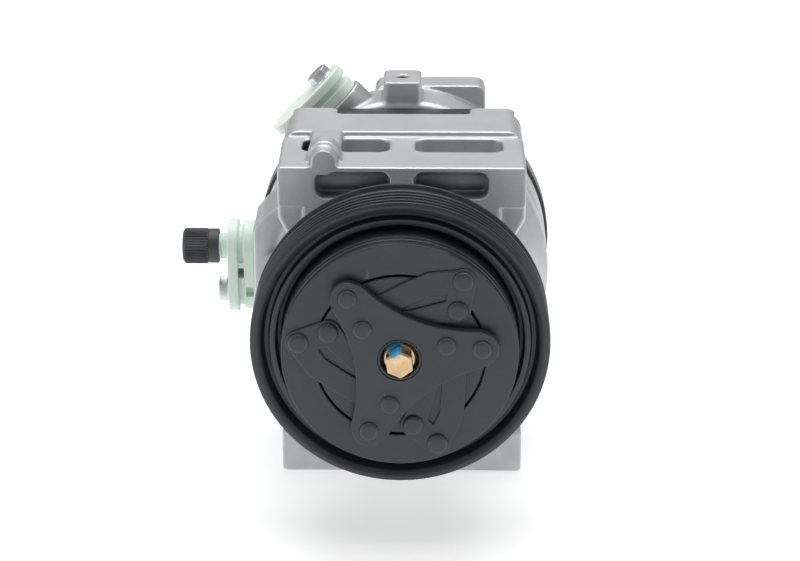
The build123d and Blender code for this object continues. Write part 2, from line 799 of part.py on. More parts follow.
# ---- clutch coil ------------------------------------------------------------------------------------
COIL_INNER = 31.8
COIL_OUTER = 43.6
turned(
    "coil_shell",
    (1.5, COIL_INNER),
    (1.5, COIL_INNER + 1.8),
    (24.2, COIL_INNER + 1.8),
    (24.2, COIL_OUTER - 1.8),
    (1.5, COIL_OUTER - 1.8),
    (1.5, COIL_OUTER),
    (27, COIL_OUTER),
    (27, 45.6),
    (COIL_SEAT, 45.6),
    (COIL_SEAT, 21),
    (27, 21),
    (27, COIL_INNER),
)
race("coil_winding", COIL_INNER + 1.9, COIL_OUTER - 1.9, 3, 24.1)
open_ring("coil_snap_ring", 16.4, 22.5, 25.7, 26.9, 8)

with BuildPart() as coil_gland:
    with BuildSketch(facing(GLAND_DEPTH, GLAND_X, GLAND_Z)):
        Circle(4.2)
    extrude(amount=3)
    with BuildSketch(facing(GLAND_DEPTH - 3, GLAND_X, GLAND_Z)):
        Circle(3.2)
    extrude(amount=4)
    with BuildSketch(facing(GLAND_DEPTH, GLAND_X, GLAND_Z)):
        Circle(3)
    extrude(amount=-7)
    with BuildSketch(facing(GLAND_DEPTH - 7, GLAND_X, GLAND_Z)):
        Circle(1.4)
    extrude(amount=-12, mode=Mode.SUBTRACT)
save(coil_gland, "coil_gland")

# ---- pulley and its bearing -------------------------------------------------------------------------
BEARING_FRONT = 4.0
BEARING_BACK = 24.0
GROOVE_START = 1.7
GROOVE_HALF = 1.5
GROOVE_FLOOR = 2.9

with BuildPart() as pulley:
    with BuildSketch(SIDE):
        with BuildLine():
            Polyline(
                (FRICTION_FACE, 22),
                (FRICTION_FACE, POLE_R),
                (9, POLE_R),
                (9, 51.4),
                (2, 51.8),
                (2, 54.2),
                (6, 54.8),
                (6, 56.6),
                (0.6, 57.6),
                (-0.6, 60.2),
                (-0.2, 61.9),
                (0.6, PULLEY_R),
                (15, PULLEY_R),
                (15.6, PULLEY_R - 1.9),
                (21.4, PULLEY_R - 1.9),
                (22, PULLEY_R),
                (PULLEY_WIDTH - 0.6, PULLEY_R),
                (PULLEY_WIDTH, PULLEY_R - 0.6),
                (PULLEY_WIDTH, 57.5),
                (13, 57.5),
                (13, POLE_R),
                (PULLEY_WIDTH, POLE_R),
                (PULLEY_WIDTH, COIL_OUTER + 0.6),
                (-1, COIL_OUTER + 0.6),
                (-1, COIL_INNER - 0.6),
                (22.6, COIL_INNER - 0.6),
                (22.6, 27.5),
                (BEARING_FRONT - 0.5, 27.5),
                (BEARING_FRONT - 0.5, 25.5),
                (-1, 25.5),
                (-1, 22),
                close=True,
            )
        make_face()
    revolve(axis=SHAFT)
    # belt grooves
    for groove in range(GROOVE_COUNT):
        centre = GROOVE_START + groove * GROOVE_PITCH
        with BuildSketch(SIDE):
            with BuildLine():
                Polyline(
                    (centre - GROOVE_HALF, PULLEY_R + 0.3),
                    (centre - 0.3, PULLEY_R - GROOVE_FLOOR),
                    (centre + 0.3, PULLEY_R - GROOVE_FLOOR),
                    (centre + GROOVE_HALF, PULLEY_R + 0.3),
                    close=True,
                )
            make_face()
        revolve(axis=SHAFT, mode=Mode.SUBTRACT)
    # ring gap for the bearing's snap ring
    with BuildSketch(SIDE):
        with Locations((21.2, 27.5)):
            Rectangle(1.2, 2)
    revolve(axis=SHAFT, mode=Mode.SUBTRACT)
    # flux slots through the friction face
    with BuildSketch(facing(FRICTION_FACE)):
        with PolarLocations(37.7, 6):
            Rectangle(2.6, 24)
    extrude(amount=-8, mode=Mode.SUBTRACT)
save(pulley, "pulley")

race("pulley_bearing_inner", NOSE_R, 20.5, BEARING_FRONT, BEARING_BACK)
race("pulley_bearing_outer", 24.5, 27.5, BEARING_FRONT, BEARING_BACK - 3.6)
balls("pulley_bearing_balls", 1.95, 22.5, 16, (8.5, 15.5))
open_ring("pulley_snap_ring", 25, 28.4, 20.7, 21.7, 8)
open_ring("nose_circlip", 16.4, 20, 2.25, 3.35, 7)

# ---- armature: ring, disc, leaf springs and their rivets ----------------------------------------------
RIVET_R = 2.4
RIVET_HOLE_R = 2.6

with BuildPart() as armature_ring:
    with BuildSketch(facing(ARMATURE_FRONT)):
        Circle(ARMATURE_R)
        Circle(ARMATURE_SPLIT_R + 0.5, mode=Mode.SUBTRACT)
        for arm in range(ARMS):
            with Locations(polar(RING_RIVET_R, RING_RIVET_ANGLE + 120 * arm)):
                Circle(RIVET_R, mode=Mode.SUBTRACT)
    extrude(amount=ARMATURE_FRONT - ARMATURE_BACK)
save(armature_ring, "armature_ring")

with BuildPart() as armature_disc:
    with BuildSketch(facing(ARMATURE_FRONT)):
        Circle(ARMATURE_SPLIT_R - 0.5)
        Circle(12.5, mode=Mode.SUBTRACT)
        for arm in range(ARMS):
            with Locations(polar(DISC_RIVET_R, DISC_RIVET_ANGLE + 120 * arm)):
                Circle(RIVET_R, mode=Mode.SUBTRACT)
            with Locations(polar(HUB_RIVET_R, HUB_RIVET_ANGLE + 120 * arm)):
                Circle(4.2, mode=Mode.SUBTRACT)
            with Locations(polar(HUB_TIP_R - 3, HUB_TIP_ANGLE + 120 * arm)):
                Circle(4.2, mode=Mode.SUBTRACT)
    extrude(amount=ARMATURE_FRONT - ARMATURE_BACK)
save(armature_disc, "armature_disc")

LEG_R = 5.0
WEB_R = 5.4
OUTER_LEG = ((34.2, 68.5), (27.2, 85), (23.0, 106))  # radius and angle of the curved leg's middle
INNER_LEG = (17.2, 78)
INNER_LEG_R = 3.2
HUB_END_R = 4.2

for number in range(1, ARMS + 1):
    turn = 120 * (number - 1)
    ring_end = polar(RING_RIVET_R, RING_RIVET_ANGLE + turn)
    disc_end = polar(DISC_RIVET_R, DISC_RIVET_ANGLE + turn)
    hub_end = polar(HUB_RIVET_R, HUB_RIVET_ANGLE + turn + 120)
    bends = [polar(radius, angle + turn) for radius, angle in OUTER_LEG]
    inner_bend = polar(INNER_LEG[0], INNER_LEG[1] + turn)
    with BuildPart() as leaf_spring:
        for start, end in ((ring_end, bends[0]), (bends[0], bends[1]), (bends[1], bends[2])):
            with BuildSketch(facing(ARMATURE_FRONT)):
                with Locations(start, end):
                    Circle(LEG_R)
                make_hull()
            extrude(amount=ARMATURE_FRONT - SPRING_FRONT)
        for start, end in ((bends[2], hub_end), (inner_bend, hub_end)):
            with BuildSketch(facing(ARMATURE_FRONT)):
                with Locations(start):
                    Circle(INNER_LEG_R)
                with Locations(end):
                    Circle(HUB_END_R)
                make_hull()
            extrude(amount=ARMATURE_FRONT - SPRING_FRONT)
        with BuildSketch(facing(ARMATURE_FRONT)):
            with Locations(disc_end):
                Circle(WEB_R)
            with Locations(inner_bend):
                Circle(INNER_LEG_R)
            make_hull()
        extrude(amount=ARMATURE_FRONT - SPRING_FRONT)
        with BuildSketch(facing(ARMATURE_FRONT)):
            with Locations(ring_end, disc_end):
                Circle(WEB_R)
            make_hull()
        extrude(amount=ARMATURE_FRONT - SPRING_FRONT)
        with BuildSketch(facing(ARMATURE_FRONT)):
            with Locations(ring_end, disc_end):
                Circle(RIVET_R)
            with Locations(hub_end):
                Circle(RIVET_HOLE_R)
        extrude(amount=1, mode=Mode.SUBTRACT)
    save(leaf_spring, f"leaf_spring_{number}")

with BuildPart() as armature_rivets:
    for radius, angle in ((RING_RIVET_R, RING_RIVET_ANGLE), (DISC_RIVET_R, DISC_RIVET_ANGLE)):
        for arm in range(ARMS):
            centre = polar(radius, angle + 120 * arm)
            with BuildSketch(facing(ARMATURE_BACK - 0.3)):
                with Locations(centre):
                    Circle(RIVET_R)
            extrude(amount=ARMATURE_BACK - 0.3 - SPRING_FRONT)
            with BuildSketch(facing(SPRING_FRONT)):
                with Locations(centre):
                    Circle(4.2)
            extrude(amount=1.8, taper=12)
save(armature_rivets, "armature_rivets")

# ---- hub --------------------------------------------------------------------------------------------
LOBE_R = 7.0
WAIST_R = 18.6
SLEEVE_BACK = 6.0
SEAT_FRONT = -12.0
SEAT_BACK = -10.4

with BuildPart() as hub_plate:
    with BuildSketch(facing(SPRING_FRONT)):
        with Locations(*[polar(HUB_TIP_R, HUB_TIP_ANGLE + 120 * arm) for arm in range(ARMS)]):
            Circle(LOBE_R)
        make_hull()
        for arm in range(ARMS):
            middle = HUB_TIP_ANGLE + 60 + 120 * arm
            with Locations(polar(WAIST_R + 64, middle)):
                Circle(64, mode=Mode.SUBTRACT)
        with Locations(*[polar(HUB_TIP_R, HUB_TIP_ANGLE + 120 * arm) for arm in range(ARMS)]):
            Circle(LOBE_R)
        Circle(9, mode=Mode.SUBTRACT)
        for arm in range(ARMS):
            with Locations(polar(HUB_TIP_R, HUB_TIP_ANGLE + 120 * arm)):
                Circle(RIVET_R, mode=Mode.SUBTRACT)
            with Locations(polar(HUB_RIVET_R, HUB_RIVET_ANGLE + 120 * arm)):
                Circle(RIVET_R, mode=Mode.SUBTRACT)
    extrude(amount=SPRING_FRONT - HUB_FRONT)
save(hub_plate, "hub_plate")

with BuildPart() as hub_rivets:
    for radius, angle in ((HUB_TIP_R, HUB_TIP_ANGLE), (HUB_RIVET_R, HUB_RIVET_ANGLE)):
        for arm in range(ARMS):
            centre = polar(radius, angle + 120 * arm)
            with BuildSketch(facing(ARMATURE_FRONT - 0.05)):
                with Locations(centre):
                    Circle(RIVET_R)
            extrude(amount=ARMATURE_FRONT - 0.05 - HUB_FRONT)
            with BuildSketch(facing(HUB_FRONT)):
                with Locations(centre):
                    Circle(3.7)
            extrude(amount=1.6, taper=12)
save(hub_rivets, "hub_rivets")

turned(
    "hub_sleeve",
    (HUB_FRONT + 0.4, 7.9),
    (HUB_FRONT + 0.4, 9),
    (SPRING_FRONT, 9),
    (SPRING_FRONT, 11),
    (SLEEVE_BACK, 11),
    (SLEEVE_BACK, 7),
    (SEAT_BACK, 7),
    (SEAT_BACK, 3.3),
    (SEAT_FRONT, 3.3),
    (SEAT_FRONT, 7.9),
)
race("hub_shim", 3.4, 6.4, SEAT_BACK, SHAFT_FRONT)

with BuildPart() as centre_bolt:
    with BuildSketch(facing(SHAFT_FRONT + 14)):
        Circle(BOLT_R)
    extrude(amount=SHAFT_FRONT + 14 - SEAT_FRONT)
    with BuildSketch(facing(SEAT_FRONT)):
        Circle(7.5)
    extrude(amount=3, taper=8)
    with BuildSketch(facing(SEAT_FRONT - 2.8)):
        RegularPolygon(5.3, 6, major_radius=False, rotation=8)
    extrude(amount=7.4)
save(centre_bolt, "centre_bolt")

# ---- relief valve and oil plug ------------------------------------------------------------------------
with BuildPart() as relief_valve:
    with BuildSketch(radial(RELIEF_ANGLE, 66, 154)):
        Circle(5)
    extrude(amount=-16)
    with BuildSketch(radial(RELIEF_ANGLE, 66, 154)):
        RegularPolygon(7, 6, major_radius=False)
    extrude(amount=5)
    with BuildSketch(radial(RELIEF_ANGLE, 71, 154)):
        Circle(4.2)
    extrude(amount=4)
    with BuildSketch(radial(RELIEF_ANGLE, 75, 154)):
        Circle(1.6)
    extrude(amount=-12, mode=Mode.SUBTRACT)
save(relief_valve, "relief_valve")

with BuildPart() as oil_plug:
    with BuildSketch(radial(OIL_PLUG_ANGLE, 67.5, 92)):
        Circle(5)
    extrude(amount=-10)
    with BuildSketch(radial(OIL_PLUG_ANGLE, 67.5, 92)):
        Circle(8)
    extrude(amount=1.5)
    with BuildSketch(radial(OIL_PLUG_ANGLE, 69, 92)):
        RegularPolygon(6.5, 6, major_radius=False)
    extrude(amount=4)
save(oil_plug, "oil_plug")

# ---- shipping covers ------------------------------------------------------------------------------------
SPIGOT_LENGTH = 6.0
BASE_INSET = 0.7
BASE_TOP = 4.9
GROOVE_INSET = 2.6
PLATE_FOOT = 7.5
SPIGOT_GAP = 0.3
NECK_R = 5.6
NECK_TOP = 22.0
CORE_R = 2.4
CAP_BOTTOM = 16.2
CAP_TOP = 32.3
CAP_R = 8.0

SUCTION_PLANE = Plane(
    origin=(SUCTION_FACE_X, RIM_Y + SUCTION_DEPTH, SHAFT_Z + SUCTION_Z), x_dir=(0, 0, -1), z_dir=(-1, 0, 0)
)


def cover(label, face, bore_r, neck):
    """A port cover: outer plate, groove and base, a spigot and, on the suction side, a valve neck."""
    spigot_r = bore_r + PORT_RECESS_STEP - SPIGOT_GAP
    with BuildPart() as piece:
        with BuildSketch(face):
            Circle(PORT_BIG_R - BASE_INSET)
            with Locations((PORT_SPAN, 0)):
                Circle(PORT_SMALL_R - BASE_INSET)
            make_hull()
        extrude(amount=BASE_TOP)
        with BuildSketch(face.offset(BASE_TOP)):
            Circle(PORT_BIG_R - GROOVE_INSET)
            with Locations((PORT_SPAN, 0)):
                Circle(PORT_SMALL_R - GROOVE_INSET)
            make_hull()
            with Locations((5.4, 0)):
                Rectangle(2.4, 2 * (PORT_BIG_R - BASE_INSET) - 1)
        extrude(amount=PLATE_FOOT - BASE_TOP)
        with BuildSketch(face.offset(PLATE_FOOT)):
            Circle(PORT_BIG_R)
            with Locations((PORT_SPAN, 0)):
                Circle(PORT_SMALL_R)
            make_hull()
        extrude(amount=COVER_THICK - PLATE_FOOT)
        with BuildSketch(face):
            Circle(spigot_r)
        extrude(amount=-SPIGOT_LENGTH)
        with BuildSketch(face.offset(-4.6)):
            Circle(spigot_r + 1)
            Circle(spigot_r - 1.6, mode=Mode.SUBTRACT)
        extrude(amount=2.2, mode=Mode.SUBTRACT)
        if neck:
            # windows that pass between the port and the bolt, and two beside the bolt
            with BuildSketch(face.offset(BASE_TOP)):
                with Locations((9.6, 0)):
                    Rectangle(5.2, 30)
                Circle(8.6, mode=Mode.SUBTRACT)
            extrude(amount=PLATE_FOOT - BASE_TOP, mode=Mode.SUBTRACT)
            with BuildSketch(face.offset(0.8)):
                with Locations((18.6, 12), (18.6, -12)):
                    Rectangle(4.4, 12)
                with Locations((PORT_SPAN, 0)):
                    Circle(5, mode=Mode.SUBTRACT)
            extrude(amount=3.2, mode=Mode.SUBTRACT)
            with BuildSketch(face.offset(COVER_THICK)):
                Circle(NECK_R)
            extrude(amount=NECK_TOP - COVER_THICK)
            with BuildSketch(face.offset(NECK_TOP)):
                Circle(CORE_R)
            extrude(amount=-NECK_TOP - SPIGOT_LENGTH, mode=Mode.SUBTRACT)
        with BuildSketch(face.offset(COVER_THICK)):
            with Locations((PORT_SPAN, 0)):
                Circle(BOLT_R + 0.2)
        extrude(amount=-COVER_THICK, mode=Mode.SUBTRACT)
    save(piece, label)


def cover_oring(label, face, bore_r):
    """Sealing ring in the spigot's groove."""
    section = Plane(origin=face.origin, x_dir=face.x_dir, z_dir=face.y_dir)
    with BuildPart() as piece:
        with BuildSketch(section):
            with Locations((bore_r + PORT_RECESS_STEP - SPIGOT_GAP - 0.75, 3.5)):
                Circle(0.85)
        revolve(axis=Axis(face.origin, face.z_dir))
    save(piece, label)


def cover_bolt(label, face):
    """Hex bolt with a thin flange."""
    with BuildPart() as piece:
        with BuildSketch(face.offset(COVER_THICK)):
            with Locations((PORT_SPAN, 0)):
                Circle(BOLT_R)
        extrude(amount=-COVER_THICK - 9)
        with BuildSketch(face.offset(COVER_THICK)):
            with Locations((PORT_SPAN, 0)):
                Circle(6)
        extrude(amount=0.9)
        with BuildSketch(face.offset(COVER_THICK + 0.9)):
            with Locations((PORT_SPAN, 0)):
                RegularPolygon(5, 6, major_radius=False, rotation=12)
        extrude(amount=3.6)
    save(piece, label)


cover("suction_cover", SUCTION_PLANE, SUCTION_BORE_R, neck=True)
cover_oring("suction_cover_oring", SUCTION_PLANE, SUCTION_BORE_R)
cover_bolt("suction_cover_bolt", SUCTION_PLANE)
cover("discharge_cover", DISCHARGE_PLANE, DISCHARGE_BORE_R, neck=False)
cover_oring("discharge_cover_oring", DISCHARGE_PLANE, DISCHARGE_BORE_R)
cover_bolt("discharge_cover_bolt", DISCHARGE_PLANE)

with BuildPart() as valve_core:
    with BuildSketch(SUCTION_PLANE.offset(NECK_TOP - 0.6)):
        Circle(CORE_R)
    extrude(amount=-14)
    with BuildSketch(SUCTION_PLANE.offset(NECK_TOP - 0.6)):
        Circle(0.9)
    extrude(amount=1.2)
save(valve_core, "valve_core")

with BuildPart() as valve_cap:
    with BuildSketch(SUCTION_PLANE.offset(CAP_BOTTOM)):
        Circle(CAP_R - 0.3)
    extrude(amount=4.6)
    with BuildSketch(SUCTION_PLANE.offset(CAP_BOTTOM + 4.6)):
        Circle(CAP_R)
    extrude(amount=CAP_TOP - CAP_BOTTOM - 4.6)
    chamfer(valve_cap.faces().sort_by(Axis.X)[0].edges(), length=0.9)
    with BuildSketch(SUCTION_PLANE.offset(CAP_BOTTOM)):
        Circle(NECK_R + 0.05)
    extrude(amount=NECK_TOP + 1.6 - CAP_BOTTOM, mode=Mode.SUBTRACT)
save(valve_cap, "valve_cap")

with BuildPart() as valve_cap_seal:
    with BuildSketch(SUCTION_PLANE.offset(NECK_TOP + 0.7)):
        Circle(NECK_R)
        Circle(2, mode=Mode.SUBTRACT)
    extrude(amount=0.8)
save(valve_cap_seal, "valve_cap_seal")
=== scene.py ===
"""Looks of a belt-driven air-conditioning compressor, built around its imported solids."""

import json
import logging
import math
from dataclasses import dataclass
from enum import Enum
from typing import Any, Callable, Iterable, Sequence

import bpy
from mathutils import Matrix, Vector


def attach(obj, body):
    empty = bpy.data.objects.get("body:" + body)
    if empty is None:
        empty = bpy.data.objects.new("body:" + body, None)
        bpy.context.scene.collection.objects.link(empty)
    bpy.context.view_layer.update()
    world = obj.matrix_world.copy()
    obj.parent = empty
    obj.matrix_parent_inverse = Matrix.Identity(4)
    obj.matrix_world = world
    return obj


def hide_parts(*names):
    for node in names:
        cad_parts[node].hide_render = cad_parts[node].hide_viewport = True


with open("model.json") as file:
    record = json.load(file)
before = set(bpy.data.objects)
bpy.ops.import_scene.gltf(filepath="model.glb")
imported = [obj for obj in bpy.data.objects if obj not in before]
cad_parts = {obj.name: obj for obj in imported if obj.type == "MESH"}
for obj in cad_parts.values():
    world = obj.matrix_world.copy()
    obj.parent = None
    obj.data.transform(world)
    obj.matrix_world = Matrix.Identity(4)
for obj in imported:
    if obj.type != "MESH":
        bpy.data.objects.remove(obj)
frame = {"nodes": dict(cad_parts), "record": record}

LOG = logging.getLogger("compressor")
MM = 0.001
SHAFT_HEIGHT = 76.5
RIM_OFFSET = -70.0
REARWARD = Vector((0, 1, 0))
FORWARD = Vector((0, -1, 0))
LEFTWARD = Vector((-1, 0, 0))
SUCTION_PORT = (88.0, -65.5, 10.8)  # depth, side offset and height of the cover's face
Point = tuple[float, float]
Colour = tuple[float, float, float]


def place(depth: float, x: float = 0.0, z: float = 0.0) -> Vector:
    """Point from a depth behind the pulley rim, a side offset and a height over the shaft.

    Args:
        depth: Millimetres behind the pulley's front rim.
        x: Millimetres to the right.
        z: Millimetres above the shaft axis.

    Returns:
        The point in the model's frame, in metres.
    """
    return Vector((x, depth + RIM_OFFSET, z + SHAFT_HEIGHT)) * MM


def polar(radius: float, angle: float) -> Point:
    """Side offset and height of a point at a radius and an angle in degrees."""
    turn = math.radians(angle)
    return radius * math.cos(turn), radius * math.sin(turn)


# ---- shader graphs -------------------------------------------------------------------------------


class Wire:
    """A shader socket that takes part in Python expressions."""

    def __init__(self, graph: "Graph", socket: bpy.types.NodeSocket) -> None:
        """Keep the graph that the socket belongs to."""
        self.graph = graph
        self.socket = socket

    def _math(self, operation: str, *values: Any) -> "Wire":
        """Add a Math node for this operation."""
        return self.graph.node("ShaderNodeMath", {"operation": operation}, list(enumerate(values)))

    def __add__(self, other: Any) -> "Wire":
        """Sum."""
        return self._math("ADD", self, other)

    __radd__ = __add__

    def __sub__(self, other: Any) -> "Wire":
        """Difference."""
        return self._math("SUBTRACT", self, other)

    def __rsub__(self, other: Any) -> "Wire":
        """Reflected difference."""
        return self._math("SUBTRACT", other, self)

    def __mul__(self, other: Any) -> "Wire":
        """Product."""
        return self._math("MULTIPLY", self, other)

    __rmul__ = __mul__

    def __pow__(self, other: Any) -> "Wire":
        """Power."""
        return self._math("POWER", self, other)

    def sine(self) -> "Wire":
        """Sine of the value."""
        return self._math("SINE", self)

    def ramp(self, low: float, high: float) -> "Wire":
        """Rescale a span of the value to zero to one, smoothly and clamped."""
        return self.graph.node(
            "ShaderNodeMapRange",
            {"interpolation_type": "SMOOTHSTEP"},
            [("Value", self), ("From Min", low), ("From Max", high)],
        )


class Graph:
    """The node graph of one material, ending in a Principled shader."""

    COLOUR_MIX_INPUTS = (0, 6, 7)
    COLOUR_MIX_OUTPUT = 2

    def __init__(self, name: str) -> None:
        """Start an empty material of that name."""
        self.material = bpy.data.materials.new(name)
        self.material.use_nodes = True
        self.tree = self.material.node_tree
        self.shader = self.tree.nodes["Principled BSDF"]
        self.coords = self.node("ShaderNodeTexCoord", {}, [], "Object")

    def node(
        self,
        kind: str,
        settings: dict[str, Any],
        inputs: Iterable[tuple[Any, Any]],
        output: Any = 0,
    ) -> Wire:
        """Add any node.

        Args:
            kind: The node's type.
            settings: Attributes that are set before its sockets, such as an operation.
            inputs: Pairs of a socket's name or number and its value or wire.
            output: Name or number of the socket that is handed back.

        Returns:
            The output as a wire.
        """
        made = self.tree.nodes.new(kind)
        for key, value in settings.items():
            setattr(made, key, value)
        for key, value in inputs:
            if isinstance(value, Wire):
                self.tree.links.new(value.socket, made.inputs[key])
            else:
                made.inputs[key].default_value = value
        return Wire(self, made.outputs[output])

    def position(self) -> tuple[Wire, Wire, Wire]:
        """The object coordinates as three separate wires."""
        split = self.node("ShaderNodeSeparateXYZ", {}, [(0, self.coords)])
        return tuple(Wire(self, output) for output in split.socket.node.outputs)

    def rings(self, pitch: float) -> Wire:
        """Waves round the shaft axis and along it, a pitch in millimetres apart."""
        x, y, z = self.position()
        height = z - SHAFT_HEIGHT * MM
        radius = (x * x + height * height) ** 0.5
        return ((radius + y) * (2 * math.pi / (pitch * MM))).sine()

    def noise(self, scale: float, detail: float = 3.0, roughness: float = 0.5) -> Wire:
        """Noise whose features are one over scale metres across."""
        return self.node(
            "ShaderNodeTexNoise",
            {},
            [
                ("Vector", self.coords),
                ("Scale", scale),
                ("Detail", detail),
                ("Roughness", roughness),
            ],
        )

    def cells(self, scale: float) -> Wire:
        """Distance to the nearest of many scattered points."""
        return self.node("ShaderNodeTexVoronoi", {}, [("Vector", self.coords), ("Scale", scale)])

    def shelter(self, distance: float) -> Wire:
        """How open the surface is to its surroundings: zero inside a pocket, one in the open; used
        to paint shade into pockets.
        """
        return self.node(
            "ShaderNodeAmbientOcclusion",
            {"samples": 6, "only_local": True},
            [("Distance", distance)],
            "AO",
        )

    def edges(self) -> Wire:
        """How convex the surface is: about a half on flat areas, more on edges."""
        return self.node("ShaderNodeNewGeometry", {}, [], "Pointiness")

    def mix(self, amount: Any, first: Any, second: Any) -> Wire:
        """Blend two colours.

        Args:
            amount: Zero for the first colour, one for the second.
            first: A colour or a wire.
            second: A colour or a wire.

        Returns:
            The blended colour.
        """
        colours = [
            colour if isinstance(colour, Wire) else (*colour, 1.0) for colour in (first, second)
        ]
        inputs = zip(self.COLOUR_MIX_INPUTS, (amount, *colours))
        return self.node("ShaderNodeMix", {"data_type": "RGBA"}, inputs, self.COLOUR_MIX_OUTPUT)

    def relief(self, height: Wire, strength: float, distance: float) -> None:
        """Feed a height into the shader's normal through a Bump node."""
        inputs = [("Strength", strength), ("Distance", distance), ("Height", height)]
        self.feed("Normal", self.node("ShaderNodeBump", {}, inputs))

    def feed(self, socket: str, value: Any) -> None:
        """Set or link one of the shader's sockets."""
        target = self.shader.inputs[socket]
        if isinstance(value, Wire):
            self.tree.links.new(value.socket, target)
        elif isinstance(value, tuple):
            target.default_value = (*value, 1.0)
        else:
            target.default_value = value


# ---- finishes ------------------------------------------------------------------------------------


@dataclass(frozen=True)
class CastMetal:
    """Sand-blasted die casting with faint blotches, a fine grain, rubbed edges and painted shade in
    its creases and pockets.
    """

    name: str = "cast_aluminium"
    light: Colour = (0.600, 0.607, 0.617)
    dark: Colour = (0.41, 0.415, 0.425)
    grain: float = 1300.0

    def material(self) -> bpy.types.Material:
        """Build the node graph."""
        graph = Graph(self.name)
        blotch = graph.noise(55.0, 4.0, 0.6).ramp(0.3, 0.72)
        speckle = graph.noise(2600.0, 2.0)
        pits = graph.cells(self.grain)
        convex = graph.edges().ramp(0.49, 0.56)
        # Concave creases are painted darker grey: painted shade.
        crease_shade = 1 - graph.edges().ramp(0.40, 0.495)
        tone = graph.mix(blotch * 0.28 + speckle * 0.14, self.light, self.dark)
        tone = graph.mix(crease_shade * 0.5, tone, (0.16, 0.16, 0.165))
        # Pockets and recesses, found by ambient occlusion, are painted near-black: painted shade.
        pocket_shade = 1 - graph.shelter(0.014).ramp(0.05, 0.62)
        tone = graph.mix(pocket_shade * 0.85, tone, (0.045, 0.05, 0.058))
        tone = graph.mix(convex * 0.35, tone, (0.74, 0.745, 0.76))
        graph.feed("Base Color", tone)
        graph.feed("Metallic", 0.72)
        graph.feed("Roughness", 0.44 + blotch * 0.10 + speckle * 0.06 - convex * 0.08)
        graph.relief(graph.noise(900.0, 4.0, 0.6) * 0.7 + pits * 0.3, 0.35, 0.00022)
        return graph.material


@dataclass(frozen=True)
class TurnedMetal:
    """Lathe-cut or ground metal with rings round the shaft axis."""

    name: str
    colour: Colour
    roughness: float = 0.28
    pitch: float = 0.25
    depth: float = 0.25

    def material(self) -> bpy.types.Material:
        """Build the node graph."""
        graph = Graph(self.name)
        rings = graph.rings(self.pitch)
        haze = graph.noise(140.0, 3.0)
        tone = graph.mix(haze * 0.5, self.colour, tuple(c * 0.72 for c in self.colour))
        graph.feed("Base Color", tone)
        graph.feed("Metallic", 0.95)
        graph.feed("Roughness", self.roughness + haze * 0.14)
        graph.relief(rings * 0.5 + haze, self.depth, 0.00004)
        return graph.material


@dataclass(frozen=True)
class BlackCoat:
    """Electro-dipped black coat over steel, dusty in places and rubbed on its edges."""

    name: str
    colour: Colour = (0.029, 0.036, 0.041)
    worn: Colour = (0.20, 0.21, 0.22)
    roughness: float = 0.40
    ring_pitch: float = 0.0

    def material(self) -> bpy.types.Material:
        """Build the node graph."""
        graph = Graph(self.name)
        cloud = graph.noise(75.0, 4.0, 0.55).ramp(0.35, 0.75)
        speck = graph.noise(2400.0, 2.0).ramp(0.62, 0.78)
        rub = graph.edges().ramp(0.51, 0.60)
        tone = graph.mix(cloud * 0.5, self.colour, tuple(c * 1.7 for c in self.colour))
        tone = graph.mix(speck * 0.10, tone, (0.30, 0.30, 0.31))
        tone = graph.mix(rub * 0.35, tone, self.worn)
        graph.feed("Base Color", tone)
        graph.feed("Metallic", 0.25)
        graph.feed("Roughness", self.roughness + cloud * 0.14 + speck * 0.10)
        graph.feed("Coat Weight", 0.25)
        graph.shader.inputs["Coat Roughness"].default_value = 0.25
        peel = graph.noise(620.0, 3.0)
        if self.ring_pitch:
            peel = peel + graph.rings(self.ring_pitch) * 0.5
        graph.relief(peel, 0.22, 0.00012)
        return graph.material


@dataclass(frozen=True)
class PlatedSteel:
    """Zinc-plated steel with a mottled passivation and a little drift in its tint."""

    name: str
    colour: Colour = (0.66, 0.70, 0.735)
    tint: Colour = (0.60, 0.62, 0.56)
    roughness: float = 0.30

    def material(self) -> bpy.types.Material:
        """Build the node graph."""
        graph = Graph(self.name)
        drift = graph.noise(210.0, 3.0, 0.6).ramp(0.35, 0.70)
        fine = graph.noise(3000.0, 2.0)
        rub = graph.edges().ramp(0.51, 0.60)
        tone = graph.mix(drift * 0.6, self.colour, self.tint)
        tone = graph.mix(rub * 0.4, tone, (0.86, 0.87, 0.88))
        graph.feed("Base Color", tone)
        graph.feed("Metallic", 0.92)
        graph.feed("Roughness", self.roughness + drift * 0.12 + fine * 0.08)
        graph.relief(fine + drift * 0.4, 0.14, 0.00006)
        return graph.material


@dataclass(frozen=True)
class MarkedBolt:
    """Yellow-plated bolt with a dab of blue inspection paint on one side of its head."""

    name: str = "yellow_zinc"
    plate: Colour = (0.62, 0.41, 0.20)
    pale: Colour = (0.68, 0.54, 0.35)
    paint: Colour = (0.06, 0.36, 0.62)
    mark_x: float = -3.0
    mark_z: float = 8.2
    mark_r: float = 5.6

    def material(self) -> bpy.types.Material:
        """Build the node graph."""
        graph = Graph(self.name)
        x, _, z = graph.position()
        side = x - self.mark_x * MM
        height = z - (SHAFT_HEIGHT + self.mark_z) * MM
        ragged = graph.noise(520.0, 3.0, 0.6) * (1.8 * MM)
        reach = (side * side + height * height) ** 0.5 + ragged
        painted = 1 - reach.ramp(self.mark_r * MM * 0.92, self.mark_r * MM * 1.12)
        drift = graph.noise(260.0, 3.0).ramp(0.35, 0.7)
        rub = graph.edges().ramp(0.52, 0.60)
        metal = graph.mix(drift, self.plate, self.pale)
        metal = graph.mix(rub * 0.4, metal, (0.90, 0.84, 0.70))
        graph.feed("Base Color", graph.mix(painted, metal, self.paint))
        graph.feed("Metallic", 0.92 - painted * 0.9)
        graph.feed("Roughness", 0.26 + drift * 0.10 + painted * 0.12)
        graph.relief(graph.noise(1800.0, 2.0) * 0.4 + painted, 0.3, 0.0001)
        return graph.material


